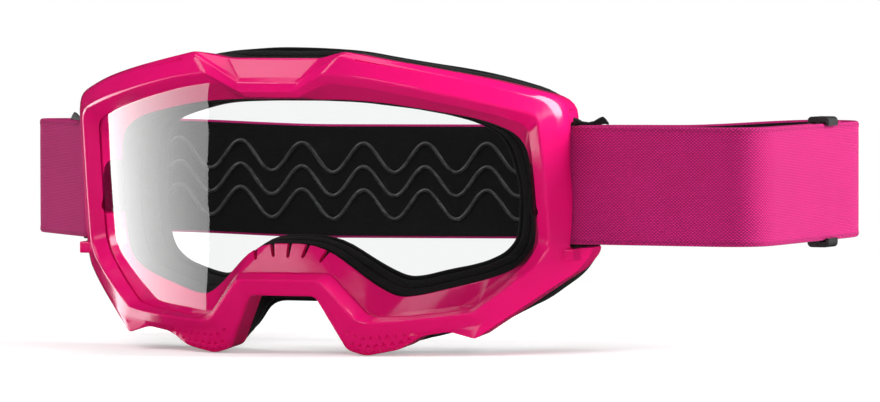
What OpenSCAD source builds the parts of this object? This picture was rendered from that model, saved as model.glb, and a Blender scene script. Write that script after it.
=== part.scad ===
// Motocross goggles: a wrapped frame with a single lens, a three-layer face foam
// and an elastic strap with two sliders. Millimetres, +Z up, the wearer looks along -Y.
// The origin is the middle of the face seal, on the plane of symmetry of the frame.

/* [Frame] */
// Width of the frame across its lower corners
frame_w = 191; // [160:1:220]
// Height of the frame from the cheek ridges to the brow peaks
frame_h = 105.6; // [90:0.1:122]
// Radius at which the front wraps round the face, seen from above
wrap_r = 110; // [100:1:140]
// How far the brow leans forward over each millimetre of height
rake = 0.18; // [0.1:0.01:0.24]
// Depth of the frame's outer wall, front to back
wall_depth = 15; // [12:0.5:18]
// Thickness of the frame's walls
wall = 2.2; // [1.8:0.1:2.6]

// Length of each vent along the wall
vent_l = 12; // [8:0.5:14]
// Width of each vent, front to back
vent_d = 5; // [3:0.5:6]

/* [Lens] */
// Thickness of the lens
lens_t = 1.2; // [0.8:0.1:1.6]
// How far the lens reaches into its groove
lens_lip = 2; // [1.5:0.1:2.4]
// Clearance round the lens in its groove
lens_gap = 0.2; // [0.1:0.05:0.4]

/* [Face foam] */
// Depth of the whole foam stack at the outer edge
foam_t = 17; // [14:0.5:22]
// Share of the stack that is the firm base layer
base_share = 0.36; // [0.25:0.01:0.45]
// Share of the stack that is the fleece against the face
fleece_share = 0.2; // [0.12:0.01:0.3]
// Clearance between the foam layers and in front of the stack
foam_gap = 0.3; // [0.2:0.05:0.6]
// Thickness of the open-cell strip behind the vents
vent_foam_t = 1.6; // [1:0.1:2]

/* [Strap] */
// Width of the elastic webbing
strap_w = 41; // [34:0.5:42]
// Thickness of the webbing
strap_t = 1.6; // [1.2:0.1:1.8]
// Distance between the middles of the webbing and of its doubled-back tail
layer_pitch = 3.6; // [3.4:0.1:5]
// Radius of the bar that the webbing loops round
bar_r = 2; // [1.8:0.1:2.4]
// Clearance between webbing and frame
strap_gap = 0.3; // [0.2:0.05:0.4]
// How far the webbing droops behind the head
droop = 2; // [0:0.5:8]

/* [Sliders] */
// Length of a slider along the webbing
slider_l = 8; // [6:0.5:12]
// Wall of a slider above and below the webbing
slider_wall = 2; // [1.6:0.1:4]
// Depth that each claw covers at the webbing's edge
claw = 1.2; // [1:0.1:6]
// Thickness of a slider's wall behind the tail and of its claws
slider_face = 1.2; // [1:0.1:2]
// Clearance of the webbing in a slider's slots
slot_gap = 0.3; // [0.2:0.05:0.5]

/* [Silicone grip] */
// Width of each silicone bead
bead_w = 1.4; // [1:0.1:2.4]
// Height of each bead above the webbing
bead_h = 0.8; // [0.5:0.1:1.2]
// Length of one wave
wave_l = 22.4; // [18:0.1:28]
// Height of the waves, crest to trough
wave_h = 10.5; // [6:0.5:12]
// Distance between the rows of beads
row_pitch = 8.4; // [6:0.1:8.6]

/* [Hidden] */

PINK = "#E2127A";
BLACK = "#161617";
CHARCOAL = "#2A2A2C";

// The outlines below are drawn for this width and height, then scaled to the chosen ones
drawn_w = 191;
drawn_h = 105.6;
kx = frame_w / drawn_w;
kz = frame_h / drawn_h;

// Height at which the front surface passes through y = 0, and height of the eyes
brow_z = 93 * kz;
eye_z = 57 * kz;

// Set-back of the vents behind the front surface, and their places across the top and the bottom
vent_set_back = 10;
top_vents = [36, 51, 66];
bottom_vent = 56;

corner_steps = 3;
side_steps = 1;

// Set-back of the whole foam stack for which the outlines of its back are drawn
drawn_foam_t = 17;

// Right halves of the outlines, from the middle of the brow clockwise to the nose.
// Each corner is [x, z, length of side that its rounding takes, set-back behind the front surface].
OUTER_EDGE = [
    [17, 103.2, 1, 8.5], [27.5, 105.6, 2, 3], [37.5, 103.5, 5, 2.6], [53, 100.3, 6, 3.5], [71, 96.1, 8, 5],
    [91.5, 89, 6, 4], [91, 62, 6, 3], [95.6, 35, 3, 3], [91.5, 28.3, 2, 2], [76, 15.4, 4, 0],
    [64.5, 6, 1, -4], [56, 8.5, 2, 0], [47, 7, 2, 2], [39.3, 2.2, 2, 2], [28, 0, 2, 2],
    [21.5, 2, 2, 3], [12, 20.7, 2, 2]
];
PANEL_FOOT = [
    [11.4, 96.2, 1, 3.6], [27.2, 105.2, 2, 2.2], [37.3, 103, 5, 1.9], [53, 99.9, 6, 2.6], [71.4, 95.6, 8, 3.8],
    [91.4, 88.7, 6, 2.9], [91.1, 62, 6, 2], [95, 35.2, 3, 2.2], [91.1, 28.6, 2, 1.2], [75.8, 15.7, 4, -0.3],
    [64.8, 7, 1, -3.8], [56, 8.8, 2, -0.2], [47.3, 7.4, 2, 1.2], [39.6, 3.4, 2, 1.2], [28.1, 1.8, 2, 1.2],
    [21.9, 3.4, 2, 2], [12.2, 21.2, 2, 1.2]
];
LIP_TOP = [
    [10.8, 95, 1, 0.6], [26.8, 104.8, 2, 1], [37, 102.4, 5, 0.8], [53, 99.4, 6, 1.2], [71.8, 95, 8, 1.8],
    [90.6, 88.2, 6, 1.2], [91, 61.5, 6, 0.8], [93.9, 35.6, 3, 1], [90, 28.6, 2, 0.4], [75.5, 16.2, 4, -0.6],
    [65.6, 9, 1, -3.4], [55.9, 9.4, 2, -0.6], [47.5, 8.1, 2, 0.6], [39.9, 6, 2, 0.8], [28.2, 4.6, 2, 0.8],
    [22.9, 6, 2, 1.2], [12.5, 22, 2, 0.6]
];
FRONT_OUTER = [
    [10.3, 93, 1, 0], [26, 103.9, 2, -0.2], [36.6, 101.6, 5, -0.4], [52.8, 98.6, 6, -0.4], [72.6, 93.9, 8, -0.2],
    [89.2, 87.3, 6, -0.4], [90.4, 61, 6, -0.6], [92.3, 36.2, 3, -0.4], [88.4, 28.8, 2, -0.6], [75, 16.9, 4, -1],
    [66.8, 11.4, 1, -2.6], [55.8, 10, 2, -1], [47.8, 8.9, 2, -0.6], [40, 8.6, 2, -0.2], [28.6, 8.6, 2, -0.2],
    [24.2, 9.2, 2, 0], [13.4, 24.2, 2, -0.6]
];
FRONT_INNER = [
    [9.8, 91.6, 1, -0.4], [21.5, 98, 2, -3], [35, 96.3, 5, -4], [51, 92.8, 6, -4], [71.5, 87.6, 7, -3.6],
    [85, 83.2, 3, -2.6], [86, 60, 6, -2.4], [86.2, 37, 3, -2.4], [82.8, 31.2, 2, -2.4], [73.5, 23, 4, -2.6],
    [64, 15.2, 1.5, -3], [55.8, 13.9, 2, -3], [48, 13.2, 2, -3], [40.4, 12.3, 2, -2.6], [31, 11.7, 2, -2.4],
    [27, 12.6, 2, -2.4], [15.4, 26.4, 2, -2.4]
];
LENS_EDGE = [
    [9.6, 89.6, 1, 5], [20.5, 94.6, 2, 4], [34.2, 92.8, 5, 4], [50, 89.3, 6, 4.6], [69.5, 84.2, 7, 5.4],
    [80.2, 79.6, 3, 6], [81, 60, 6, 6], [81.2, 38.5, 3, 6], [78, 32.4, 2, 6], [71, 24.6, 4, 5.6],
    [62.4, 16.6, 1.5, 5], [55.6, 15.2, 2, 4.6], [48, 14.4, 2, 4.4], [40.8, 13.6, 2, 4.4], [32.4, 13.4, 2, 4.4],
    [29, 14.6, 2, 4.4], [17.4, 28.6, 2, 4.4]
];
EYE_RIM = [
    [9, 88.6, 4, 19], [22, 88.4, 5, 19], [34, 87.4, 5, 19], [48, 85, 6, 19], [65, 81.4, 7, 19],
    [76, 75, 8, 19], [77.6, 58, 6, 19], [77.4, 40, 7, 19], [75, 32, 6, 19], [68, 27.8, 6, 19],
    [60, 25.2, 4, 19], [55, 23.9, 3, 19], [48.5, 22.2, 3, 18], [42, 20.6, 3, 17], [35.5, 20, 4, 16],
    [29, 24, 5, 15], [12, 38.8, 9, 12]
];
FACE_INNER = [
    [9, 88, 4, 34], [22, 87.4, 5, 34], [34, 85.8, 5, 37], [45, 83.6, 6, 40], [56, 80.4, 7, 43],
    [63.5, 74, 8, 45], [66.5, 57, 6, 45], [65.6, 40, 7, 44], [62, 34.4, 6, 42], [57, 31.6, 6, 40],
    [52, 30, 4, 38], [48, 29.2, 3, 37], [44, 28.3, 3, 36], [39, 27, 3, 36], [34, 26.4, 4, 35],
    [28.5, 29, 5, 34], [12, 41, 9, 30]
];
FACE_OUTER = [
    [10, 106.4, 6, 34], [24, 105.2, 6, 34], [37, 102.6, 6, 34], [52, 100, 6, 34], [68, 96.4, 7, 34],
    [83, 90, 7, 35], [91.5, 60, 8, 36], [89.5, 34, 5, 35], [86, 26.6, 4, 34], [76, 17.6, 4, 34],
    [66, 13.4, 4, 34], [56, 9.6, 4, 34], [47, 6.6, 4, 34], [39, 4.8, 4, 34], [30, 5, 4, 34],
    [22.5, 8.6, 5, 33], [14, 17.4, 5, 30]
];

// Corners of the webbing's middle line in plan, from the right bar round the head to the left bar
bar_x = 90.4 * kx;
bar_y = front_y(bar_x, eye_z) + 8;
loop_r = bar_r + strap_gap + strap_t / 2;
strap_z = 58.5 * kz;
post_back = bar_y - loop_r - strap_t / 2 - strap_gap - 0.5;
window_x = bar_x - loop_r - strap_t / 2 - strap_gap;
RIGHT_FRONT = [bar_x + 68.6, bar_y - 7];
RIGHT_REAR = [bar_x + 80.6, bar_y + 102];
LEFT_REAR = [-bar_x - 39, bar_y + 35];
front_bend = 16;
rear_bend = 30;
left_bend = 14;

// Places of the sliders along the webbing, from the corner before each one
right_slider_s = 62;
right_tail_s = 80;
left_slider_s = 24;
left_tail_s = 47.2;

// Stretch of the rear run that the silicone covers, from the left rear corner
grip_from = 48.8;
grip_waves = 8;
grip_steps = 12;

// ---- Points and outlines ----

function front_y(x, z) = wrap_r - sqrt(pow(wrap_r, 2) - pow(min(abs(x), wrap_r - 1), 2)) + rake * (brow_z - z);

function unit(v) = v / norm(v);

// A whole outline from its right half, scaled to the frame's size
function whole(half) = concat(
    [for (c = half) [c[0] * kx, c[1] * kz, c[2], c[3]]],
    [for (i = [len(half) - 1 : -1 : 0]) [-half[i][0] * kx, half[i][1] * kz, half[i][2], half[i][3]]]
);

// Every corner of an outline moved outwards by t, and back by dy
function grown(cs, t, dy = 0) = let(n = len(cs)) [
    for (i = [0 : n - 1])
        let(
            p = cs[i],
            u = unit([for (k = [0, 1]) p[k] - cs[(i + n - 1) % n][k]]),
            v = unit([for (k = [0, 1]) cs[(i + 1) % n][k] - p[k]]),
            a = [-u[1], u[0]],
            b = [-v[1], v[0]],
            m = (a + b) / max(0.6, 1 + a * b)
        )
        [p[0] + m[0] * t, p[1] + m[1] * t, p[2], p[3] + dy]
];

// Two outlines with the same corners, mixed
function mixed(a, b, f) = [for (i = [0 : len(a) - 1]) a[i] * (1 - f) + b[i] * f];

// One corner's rounding as a quadratic curve, then the straight to the next corner
function eased(a, p, b, take, steps) = let(
        ta = min(take, 0.45 * norm([a[0] - p[0], a[1] - p[1]])) / norm([a[0] - p[0], a[1] - p[1]]),
        tb = min(take, 0.45 * norm([b[0] - p[0], b[1] - p[1]])) / norm([b[0] - p[0], b[1] - p[1]]),
        s = p + (a - p) * ta,
        e = p + (b - p) * tb
    ) [for (k = [0 : steps]) let(f = k / steps) s * pow(1 - f, 2) + p * 2 * f * (1 - f) + e * pow(f, 2)];

// A closed loop of points on the front surface, from an outline's corners
function loop(cs) = let(n = len(cs)) [
    for (i = [0 : n - 1])
        let(
            arc = eased(cs[(i + n - 1) % n], cs[i], cs[(i + 1) % n], cs[i][2], corner_steps),
            next = eased(cs[i], cs[(i + 1) % n], cs[(i + 2) % n], cs[(i + 1) % n][2], corner_steps)[0],
            last = arc[corner_steps]
        )
        each concat(
            [for (p = arc) [p[0], front_y(p[0], p[1]) + p[3], p[1]]],
            [for (k = [1 : side_steps])
                let(p = last + (next - last) * k / (side_steps + 1))
                [p[0], front_y(p[0], p[1]) + p[3], p[1]]]
        )
];

// ---- Solids through loops ----

module origin() {
    translate([0, -front_y(0, eye_z) - FACE_OUTER[0][3], -eye_z]) children();
}

// A ring through loops of equally many points, the last joined to the first. The last strip is split
// the other way, so that the facing sides of two stacked rings of four loops match.
module ring(loops) {
    n = len(loops[0]);
    m = len(loops);
    polyhedron(
        points = [for (l = loops) each l],
        faces = [
            for (j = [0 : m - 1], i = [0 : n - 1])
                let(
                    a = j * n + i,
                    b = j * n + (i + 1) % n,
                    c = ((j + 1) % m) * n + (i + 1) % n,
                    d = ((j + 1) % m) * n + i
                )
                each j == m - 1 ? [[a, b, d], [b, c, d]] : [[a, b, c], [a, c, d]]
        ],
        convexity = 6
    );
}

// A plate through loops, closed at both ends by a fan round a middle point
module plate(loops, first, last) {
    n = len(loops[0]);
    m = len(loops);
    polyhedron(
        points = concat([for (l = loops) each l], [first, last]),
        faces = concat(
            [for (i = [0 : n - 1]) [m * n, (i + 1) % n, i]],
            [
                for (j = [0 : m - 2], i = [0 : n - 1])
                    let(a = j * n + i, b = j * n + (i + 1) % n, c = b + n, d = a + n)
                    each [[a, b, c], [a, c, d]]
            ],
            [for (i = [0 : n - 1]) [(m - 1) * n + i, (m - 1) * n + (i + 1) % n, m * n + 1]]
        ),
        convexity = 4
    );
}

// ---- Frame ----

groove = lens_t + 2 * lens_gap;
outer_edge = whole(OUTER_EDGE);
lens_edge = whole(LENS_EDGE);
eye_rim = whole(EYE_RIM);
groove_floor = grown(lens_edge, lens_lip + lens_gap);
wall_back = grown(outer_edge, -1, wall_depth);
rim_back = grown(eye_rim, 0.6, wall);

// How much further forward the back of the rim lies on its outer side
lip_slope = 1.2;

module shell() {
    ring([for (cs = [
        wall_back,
        outer_edge,
        whole(PANEL_FOOT),
        whole(LIP_TOP),
        whole(FRONT_OUTER),
        whole(FRONT_INNER),
        lens_edge,
        groove_floor,
        grown(groove_floor, 0, groove),
        grown(lens_edge, 0, groove),
        eye_rim,
        rim_back,
        grown(eye_rim, wall, wall - lip_slope),
        grown(mixed(groove_floor, outer_edge, 0.5), 0, 5.5),
        grown(wall_back, -wall)
    ]) loop(cs)]);
}

// Opening behind the side post for the webbing, with room above and below it
window_room = 1.5;

module strap_window() {
    bottom = strap_z - strap_w / 2 - window_room;
    translate([window_x, post_back, bottom]) cube([30, 40, strap_w + 2 * window_room]);
}

// A vent through the outer wall at x, above or below the lens
module vent(x, low, high) {
    slant = asin(x / wrap_r);
    translate([x, front_y(x, (low + high) / 2) + vent_set_back, low])
        rotate([0, 0, slant]) translate([-vent_l / 2, 0, 0]) cube([vent_l, vent_d, high - low]);
}

module vents() {
    for (x = top_vents) vent(x * kx, (104 - x * 0.15) * kz - 2 * wall, frame_h + 2 * wall);
    vent(bottom_vent * kx, -2 * wall, 9.6 * kz);
}

// The bar that the webbing loops round, with the two blocks that carry it
module strap_bar() {
    block_h = 4;
    sunk = 1;
    block_x = bar_x - bar_r - 1.6;
    block_y = post_back - 2;
    block_d = bar_y + bar_r - block_y;
    low = strap_z - strap_w / 2 - window_room;
    high = strap_z + strap_w / 2 + window_room;
    translate([bar_x, bar_y, low - sunk]) cylinder(r = bar_r, h = high - low + 2 * sunk, $fn = 32);
    translate([block_x, block_y, low - block_h]) cube([3 * bar_r, block_d, block_h]);
    translate([block_x, block_y, high]) cube([2.3 * bar_r, block_d - 0.8, block_h]);
}

module frame() {
    color(PINK) origin() union() {
        difference() {
            shell();
            for (side = [0, 1]) mirror([side, 0, 0]) {
                strap_window();
                vents();
            }
        }
        strap_bar();
        mirror([1, 0, 0]) strap_bar();
    }
}

// ---- Lens ----

function shrunk(cs, k, dy) = [
    for (c = cs) [c[0] * k, eye_z + (c[1] - eye_z) * k, c[2] * k, LENS_EDGE[0][3] + (c[3] - LENS_EDGE[0][3]) * k + dy]
];

module lens() {
    rim = grown(lens_edge, lens_lip, lens_gap);
    shares = [0.3, 0.6, 0.8, 0.93, 1];
    middle = front_y(0, eye_z) + LENS_EDGE[0][3] + lens_gap;
    color("#DCE6EA", 0.35) origin() plate(
        concat(
            [for (k = shares) loop(shrunk(rim, k, 0))],
            [for (i = [len(shares) - 1 : -1 : 0]) loop(shrunk(rim, shares[i], lens_t))]
        ),
        [0, middle, eye_z],
        [0, middle + lens_t, eye_z]
    );
}

// ---- Foam ----

// Front and back of the stack as corners; its outer front edge lies on the frame's back
stack_front_outer = grown(wall_back, -0.4, foam_gap + 0.2);
stack_front_inner = grown(rim_back, -0.6, foam_gap + 0.1);
stack_back_outer = [for (c = whole(FACE_OUTER)) c + [0, 0, 0, foam_t - drawn_foam_t]];
stack_back_inner = [for (c = whole(FACE_INNER)) c + [0, 0, 0, foam_t - drawn_foam_t]];

module foam_layer(from, to) {
    ring([
        loop(mixed(stack_front_outer, stack_back_outer, to)),
        loop(mixed(stack_front_outer, stack_back_outer, from)),
        loop(mixed(stack_front_inner, stack_back_inner, from)),
        loop(mixed(stack_front_inner, stack_back_inner, to))
    ]);
}

layer_gap = foam_gap / foam_t;

module foam_base() {
    color(CHARCOAL) origin() foam_layer(0, base_share);
}

module foam_mid() {
    color(BLACK) origin() foam_layer(base_share + layer_gap, 1 - fleece_share);
}

module foam_fleece() {
    color("#0E0E10") origin() foam_layer(1 - fleece_share + layer_gap, 1);
}

// Open-cell strip that closes the frame's channel behind its vents
module vent_foam() {
    outer = grown(wall_back, -wall);
    inner = grown(eye_rim, wall, wall - lip_slope);
    back = -0.5;
    front = back - vent_foam_t;
    color(CHARCOAL) origin() ring([
        loop(grown(mixed(outer, inner, 0.2), 0, back)),
        loop(grown(mixed(outer, inner, 0.3), 0, front)),
        loop(grown(mixed(outer, inner, 0.55), 0, front)),
        loop(grown(mixed(outer, inner, 0.8), 0, back))
    ]);
}

// ---- Strap ----

// A point on the way from a to b, s millimetres from a
function along(a, b, s) = a + unit(b - a) * s;

// The two corners of a run, moved sideways by t (to the right of travel for positive t)
function aside(a, b, t) = let(u = unit(b - a)) [a + [u[1], -u[0]] * t, b + [u[1], -u[0]] * t];

// Corner of two runs that were both moved sideways by t
function inset_corner(a, p, b, t) = let(
        u = unit(p - a),
        v = unit(b - p),
        m = [u[1] + v[1], -u[0] - v[0]] / (1 + u * v)
    ) p + m * t;

bar_right = [bar_x, bar_y];
bar_left = [-bar_x, bar_y];

// Direction from a bar's middle to where the webbing's middle line touches its turn round the bar
function touch(middle, p, side) = let(w = p - middle) atan2(w[1], w[0]) + side * acos(loop_r / norm(w));

function on_turn(middle, t) = middle + loop_r * [cos(t), sin(t)];

turn_steps = 8;

function bar_turn(middle, from, to) =
    [for (k = [0 : turn_steps]) on_turn(middle, from + (to - from) * k / turn_steps)];

right_front_angle = touch(bar_right, RIGHT_FRONT, -1) + 360;
left_front_angle = touch(bar_left, LEFT_REAR, 1);
right_start = on_turn(bar_right, right_front_angle);
left_end = on_turn(bar_left, left_front_angle);

bend_steps = 6;
tail_front = inset_corner(right_start, RIGHT_FRONT, RIGHT_REAR, -layer_pitch);
tail_rear = inset_corner(RIGHT_REAR, LEFT_REAR, left_end, -layer_pitch);
right_run = aside(RIGHT_FRONT, RIGHT_REAR, -layer_pitch);
rear_run = aside(LEFT_REAR, RIGHT_REAR, layer_pitch);
right_rear_angle = touch(bar_right, tail_front, 1);
left_rear_angle = touch(bar_left, tail_rear, -1) + 360;

strap_line = concat(
    [along(right_run[0], right_run[1], right_tail_s)],
    eased(right_run[1], tail_front, on_turn(bar_right, right_rear_angle), front_bend - 2, bend_steps),
    bar_turn(bar_right, right_rear_angle, right_front_angle),
    eased(right_start, RIGHT_FRONT, RIGHT_REAR, front_bend, bend_steps),
    eased(RIGHT_FRONT, RIGHT_REAR, LEFT_REAR, rear_bend, bend_steps),
    [for (s = [260 : -20 : 40]) along(LEFT_REAR, RIGHT_REAR, s)],
    eased(RIGHT_REAR, LEFT_REAR, left_end, left_bend, bend_steps),
    bar_turn(bar_left, left_front_angle, left_rear_angle),
    eased(on_turn(bar_left, left_rear_angle), tail_rear, rear_run[1], left_bend - 3, bend_steps),
    [along(rear_run[0], rear_run[1], left_tail_s)]
);

function smooth(f) = let(c = max(0, min(1, f))) c * c * (3 - 2 * c);

// Middle height of the webbing: level at the sides, lower behind the head
droop_from = -bar_x + 5;
droop_to = bar_x + 60;
droop_behind = bar_y + 30;
left_ease = 65;
right_ease = 50;

function strap_mid(p) = strap_z - (p[1] > droop_behind
    ? droop * smooth((p[0] - droop_from) / left_ease) * smooth((droop_to - p[0]) / right_ease)
    : 0);

// Sideways direction at point i of an open line, to the right of travel
function side_at(line, i) = let(
        n = len(line),
        u = unit(line[min(n - 1, i + 1)] - line[max(0, i - 1)])
    ) [u[1], -u[0]];

// A ribbon on edge along an open line, between two offsets and two heights about its middle
module ribbon(line, from, to, low, high) {
    n = len(line);
    corners = [[from, low], [to, low], [to, high], [from, high]];
    points = [
        for (i = [0 : n - 1], c = corners)
            let(p = line[i] + side_at(line, i) * c[0])
            [p[0], p[1], strap_mid(line[i]) + c[1]]
    ];
    polyhedron(
        points = points,
        faces = concat(
            [[0, 1, 2], [0, 2, 3]],
            [
                for (i = [0 : n - 2], k = [0 : 3])
                    let(a = i * 4 + k, b = i * 4 + (k + 1) % 4)
                    each [[a, a + 4, b + 4], [a, b + 4, b]]
            ],
            [[n * 4 - 2, n * 4 - 3, n * 4 - 4], [n * 4 - 1, n * 4 - 2, n * 4 - 4]]
        ),
        convexity = 8
    );
}

module strap() {
    color(PINK) origin() ribbon(strap_line, -strap_t / 2, strap_t / 2, -strap_w / 2, strap_w / 2);
}

// ---- Silicone beads on the inside of the rear run ----

module grip_bead(row) {
    steps = grip_waves * grip_steps;
    u = unit(RIGHT_REAR - LEFT_REAR);
    inward = [u[1], -u[0]];
    slope = PI * wave_h / wave_l;
    rings = [
        for (i = [0 : steps])
            let(
                turn = 360 * i / grip_steps,
                s = grip_from + wave_l * i / grip_steps,
                p = along(LEFT_REAR, RIGHT_REAR, s),
                tilt = slope * cos(turn),
                z = strap_mid(p) + row * row_pitch + sin(turn) * wave_h / 2,
                h = bead_w / 2 / sqrt(1 + tilt * tilt)
            )
            [for (c = [[-1, 0], [1, 0], [0.5, 1], [-0.5, 1]])
                let(q = p - u * tilt * h * c[0] + inward * (strap_t / 2 + bead_h * c[1]))
                [q[0], q[1], z + h * c[0]]]
    ];
    n = len(rings);
    polyhedron(
        points = [for (r = rings) each r],
        faces = concat(
            [[2, 1, 0], [3, 2, 0]],
            [
                for (i = [0 : n - 2], k = [0 : 3])
                    let(a = i * 4 + k, b = i * 4 + (k + 1) % 4)
                    each [[a, b, b + 4], [a, b + 4, a + 4]]
            ],
            [[n * 4 - 4, n * 4 - 3, n * 4 - 2], [n * 4 - 4, n * 4 - 2, n * 4 - 1]]
        ),
        convexity = 8
    );
}

module grip_bead_top() {
    color(BLACK) origin() grip_bead(1);
}

module grip_bead_middle() {
    color(BLACK) origin() grip_bead(0);
}

module grip_bead_bottom() {
    color(BLACK) origin() grip_bead(-1);
}

// ---- Sliders ----

// Section of a slider across the webbing: [across the layers, height], the outer layer at zero
module slider_section() {
    slot = strap_t / 2 + slot_gap;
    half_h = strap_w / 2 + slot_gap + 0.1;
    inner = layer_pitch + slot + slider_face;
    outer = slot + slider_face;
    difference() {
        upright(-inner, outer, half_h + slider_wall);
        upright(-slot, slot, half_h);
        upright(-layer_pitch - slot, -layer_pitch + slot, half_h);
        upright(0, outer + 1, half_h - claw);
    }
}

module upright(x0, x1, half_z) {
    translate([x0, -half_z]) square([x1 - x0, 2 * half_z]);
}

// A slider centred at a point of a run, the outer side of the webbing facing away from the head
module slider(a, b, s, flip) {
    p = along(a, b, s);
    u = unit(b - a);
    turn = atan2(u[1], u[0]);
    translate([p[0], p[1], strap_z]) rotate([0, 0, turn])
        rotate([90, 0, 90]) mirror([flip, 0, 0])
        translate([0, 0, -slider_l / 2]) linear_extrude(height = slider_l) slider_section();
}

module slider_right() {
    color(CHARCOAL) origin() slider(RIGHT_FRONT, RIGHT_REAR, right_slider_s, 1);
}

module slider_left() {
    color(CHARCOAL) origin() slider(LEFT_REAR, RIGHT_REAR, left_slider_s, 0);
}

frame();
lens();
vent_foam();
foam_base();
foam_mid();
foam_fleece();
strap();
grip_bead_top();
grip_bead_middle();
grip_bead_bottom();
slider_left();
slider_right();
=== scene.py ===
"""Motocross goggles: the finish of every piece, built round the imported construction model.

Lengths in the outlines are millimetres in the drawing frame, where y is the set-back behind the brow
and z is the height above the cheek ridges. place() turns them into metres in the row frame.
"""

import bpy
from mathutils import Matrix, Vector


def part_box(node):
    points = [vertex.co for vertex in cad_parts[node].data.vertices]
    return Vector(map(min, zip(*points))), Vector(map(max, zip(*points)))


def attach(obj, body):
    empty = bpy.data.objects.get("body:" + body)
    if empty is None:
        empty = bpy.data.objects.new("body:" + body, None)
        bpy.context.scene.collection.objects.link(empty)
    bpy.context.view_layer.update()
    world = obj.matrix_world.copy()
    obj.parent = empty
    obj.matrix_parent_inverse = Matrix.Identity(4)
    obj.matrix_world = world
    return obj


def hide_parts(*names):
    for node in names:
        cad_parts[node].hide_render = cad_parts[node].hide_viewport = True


bl_info = {
    "name": "Motocross Goggles",
    "version": (1, 0, 0),
    "blender": (4, 5, 0),
    "location": "View3D > Sidebar > Goggles",
    "description": "Builds the frame, lens, foam, webbing, grip and sliders of a pair of motocross goggles",
    "category": "Add Mesh",
}

import math

import bmesh
import bpy
from mathutils import Matrix, Vector, noise

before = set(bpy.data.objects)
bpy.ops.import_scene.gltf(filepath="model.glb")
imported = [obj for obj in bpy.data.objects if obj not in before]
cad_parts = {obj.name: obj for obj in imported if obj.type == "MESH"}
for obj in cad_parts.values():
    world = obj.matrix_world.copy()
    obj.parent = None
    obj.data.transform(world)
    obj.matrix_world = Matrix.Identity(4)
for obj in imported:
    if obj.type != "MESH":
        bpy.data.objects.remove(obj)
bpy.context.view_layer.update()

MM = 0.001

# ---- Driving sizes of the outlines, in millimetres ----

EYE_Z = 57
BROW_Z = 93
WRAP_R = 110
RAKE = 0.18
SEAL_SET_BACK = 34
ORIGIN_Y = RAKE * (BROW_Z - EYE_Z) + SEAL_SET_BACK

WALL = 2.2
WALL_DEPTH = 15
LENS_T = 1.2
LENS_LIP = 2
LENS_GAP = 0.2
GROOVE = LENS_T + 2 * LENS_GAP

FOAM_GAP = 0.3
FOAM_T = 17
BASE_SHARE = 0.36
FLEECE_SHARE = 0.2

STRAP_T = 1.6
LAYER_PITCH = 3.6
BAR_R = 2
STRAP_GAP = 0.3
STRAP_Z = 58.5
DROOP = 2
SLOT_GAP = 0.3
SLIDER_WALL = 2
SLIDER_FACE = 1.2
SLIDER_L = 8
CLAW = 1.2

# Right halves of the outlines, from the middle of the brow clockwise to the nose.
# Each corner is (x, z, length of side that its rounding takes, set-back behind the front surface).
OUTER_EDGE = [
    (17, 103.2, 1, 8.5), (27.5, 105.6, 2, 3), (37.5, 103.5, 5, 2.6), (53, 100.3, 6, 3.5),
    (71, 96.1, 8, 5), (91.5, 89, 6, 4), (91, 62, 6, 3), (95.6, 35, 3, 3), (91.5, 28.3, 2, 2),
    (76, 15.4, 4, 0), (64.5, 6, 1, -4), (56, 8.5, 2, 0), (47, 7, 2, 2), (39.3, 2.2, 2, 2),
    (28, 0, 2, 2), (21.5, 2, 2, 3), (12, 20.7, 2, 2),
]
PANEL_FOOT = [
    (11.4, 96.2, 1, 3.6), (27.2, 105.2, 2, 2.2), (37.3, 103, 5, 1.9), (53, 99.9, 6, 2.6),
    (71.4, 95.6, 8, 3.8), (91.4, 88.7, 6, 2.9), (91.1, 62, 6, 2), (95, 35.2, 3, 2.2),
    (91.1, 28.6, 2, 1.2), (75.8, 15.7, 4, -0.3), (64.8, 7, 1, -3.8), (56, 8.8, 2, -0.2),
    (47.3, 7.4, 2, 1.2), (39.6, 3.4, 2, 1.2), (28.1, 1.8, 2, 1.2), (21.9, 3.4, 2, 2),
    (12.2, 21.2, 2, 1.2),
]
LIP_TOP = [
    (10.8, 95, 1, 0.6), (26.8, 104.8, 2, 1), (37, 102.4, 5, 0.8), (53, 99.4, 6, 1.2),
    (71.8, 95, 8, 1.8), (90.6, 88.2, 6, 1.2), (91, 61.5, 6, 0.8), (93.9, 35.6, 3, 1),
    (90, 28.6, 2, 0.4), (75.5, 16.2, 4, -0.6), (65.6, 9, 1, -3.4), (55.9, 9.4, 2, -0.6),
    (47.5, 8.1, 2, 0.6), (39.9, 6, 2, 0.8), (28.2, 4.6, 2, 0.8), (22.9, 6, 2, 1.2),
    (12.5, 22, 2, 0.6),
]
FRONT_OUTER = [
    (10.3, 93, 1, 0), (26, 103.9, 2, -0.2), (36.6, 101.6, 5, -0.4), (52.8, 98.6, 6, -0.4),
    (72.6, 93.9, 8, -0.2), (89.2, 87.3, 6, -0.4), (90.4, 61, 6, -0.6), (92.3, 36.2, 3, -0.4),
    (88.4, 28.8, 2, -0.6), (75, 16.9, 4, -1), (66.8, 11.4, 1, -2.6), (55.8, 10, 2, -1),
    (47.8, 8.9, 2, -0.6), (40, 8.6, 2, -0.2), (28.6, 8.6, 2, -0.2), (24.2, 9.2, 2, 0),
    (13.4, 24.2, 2, -0.6),
]
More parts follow.
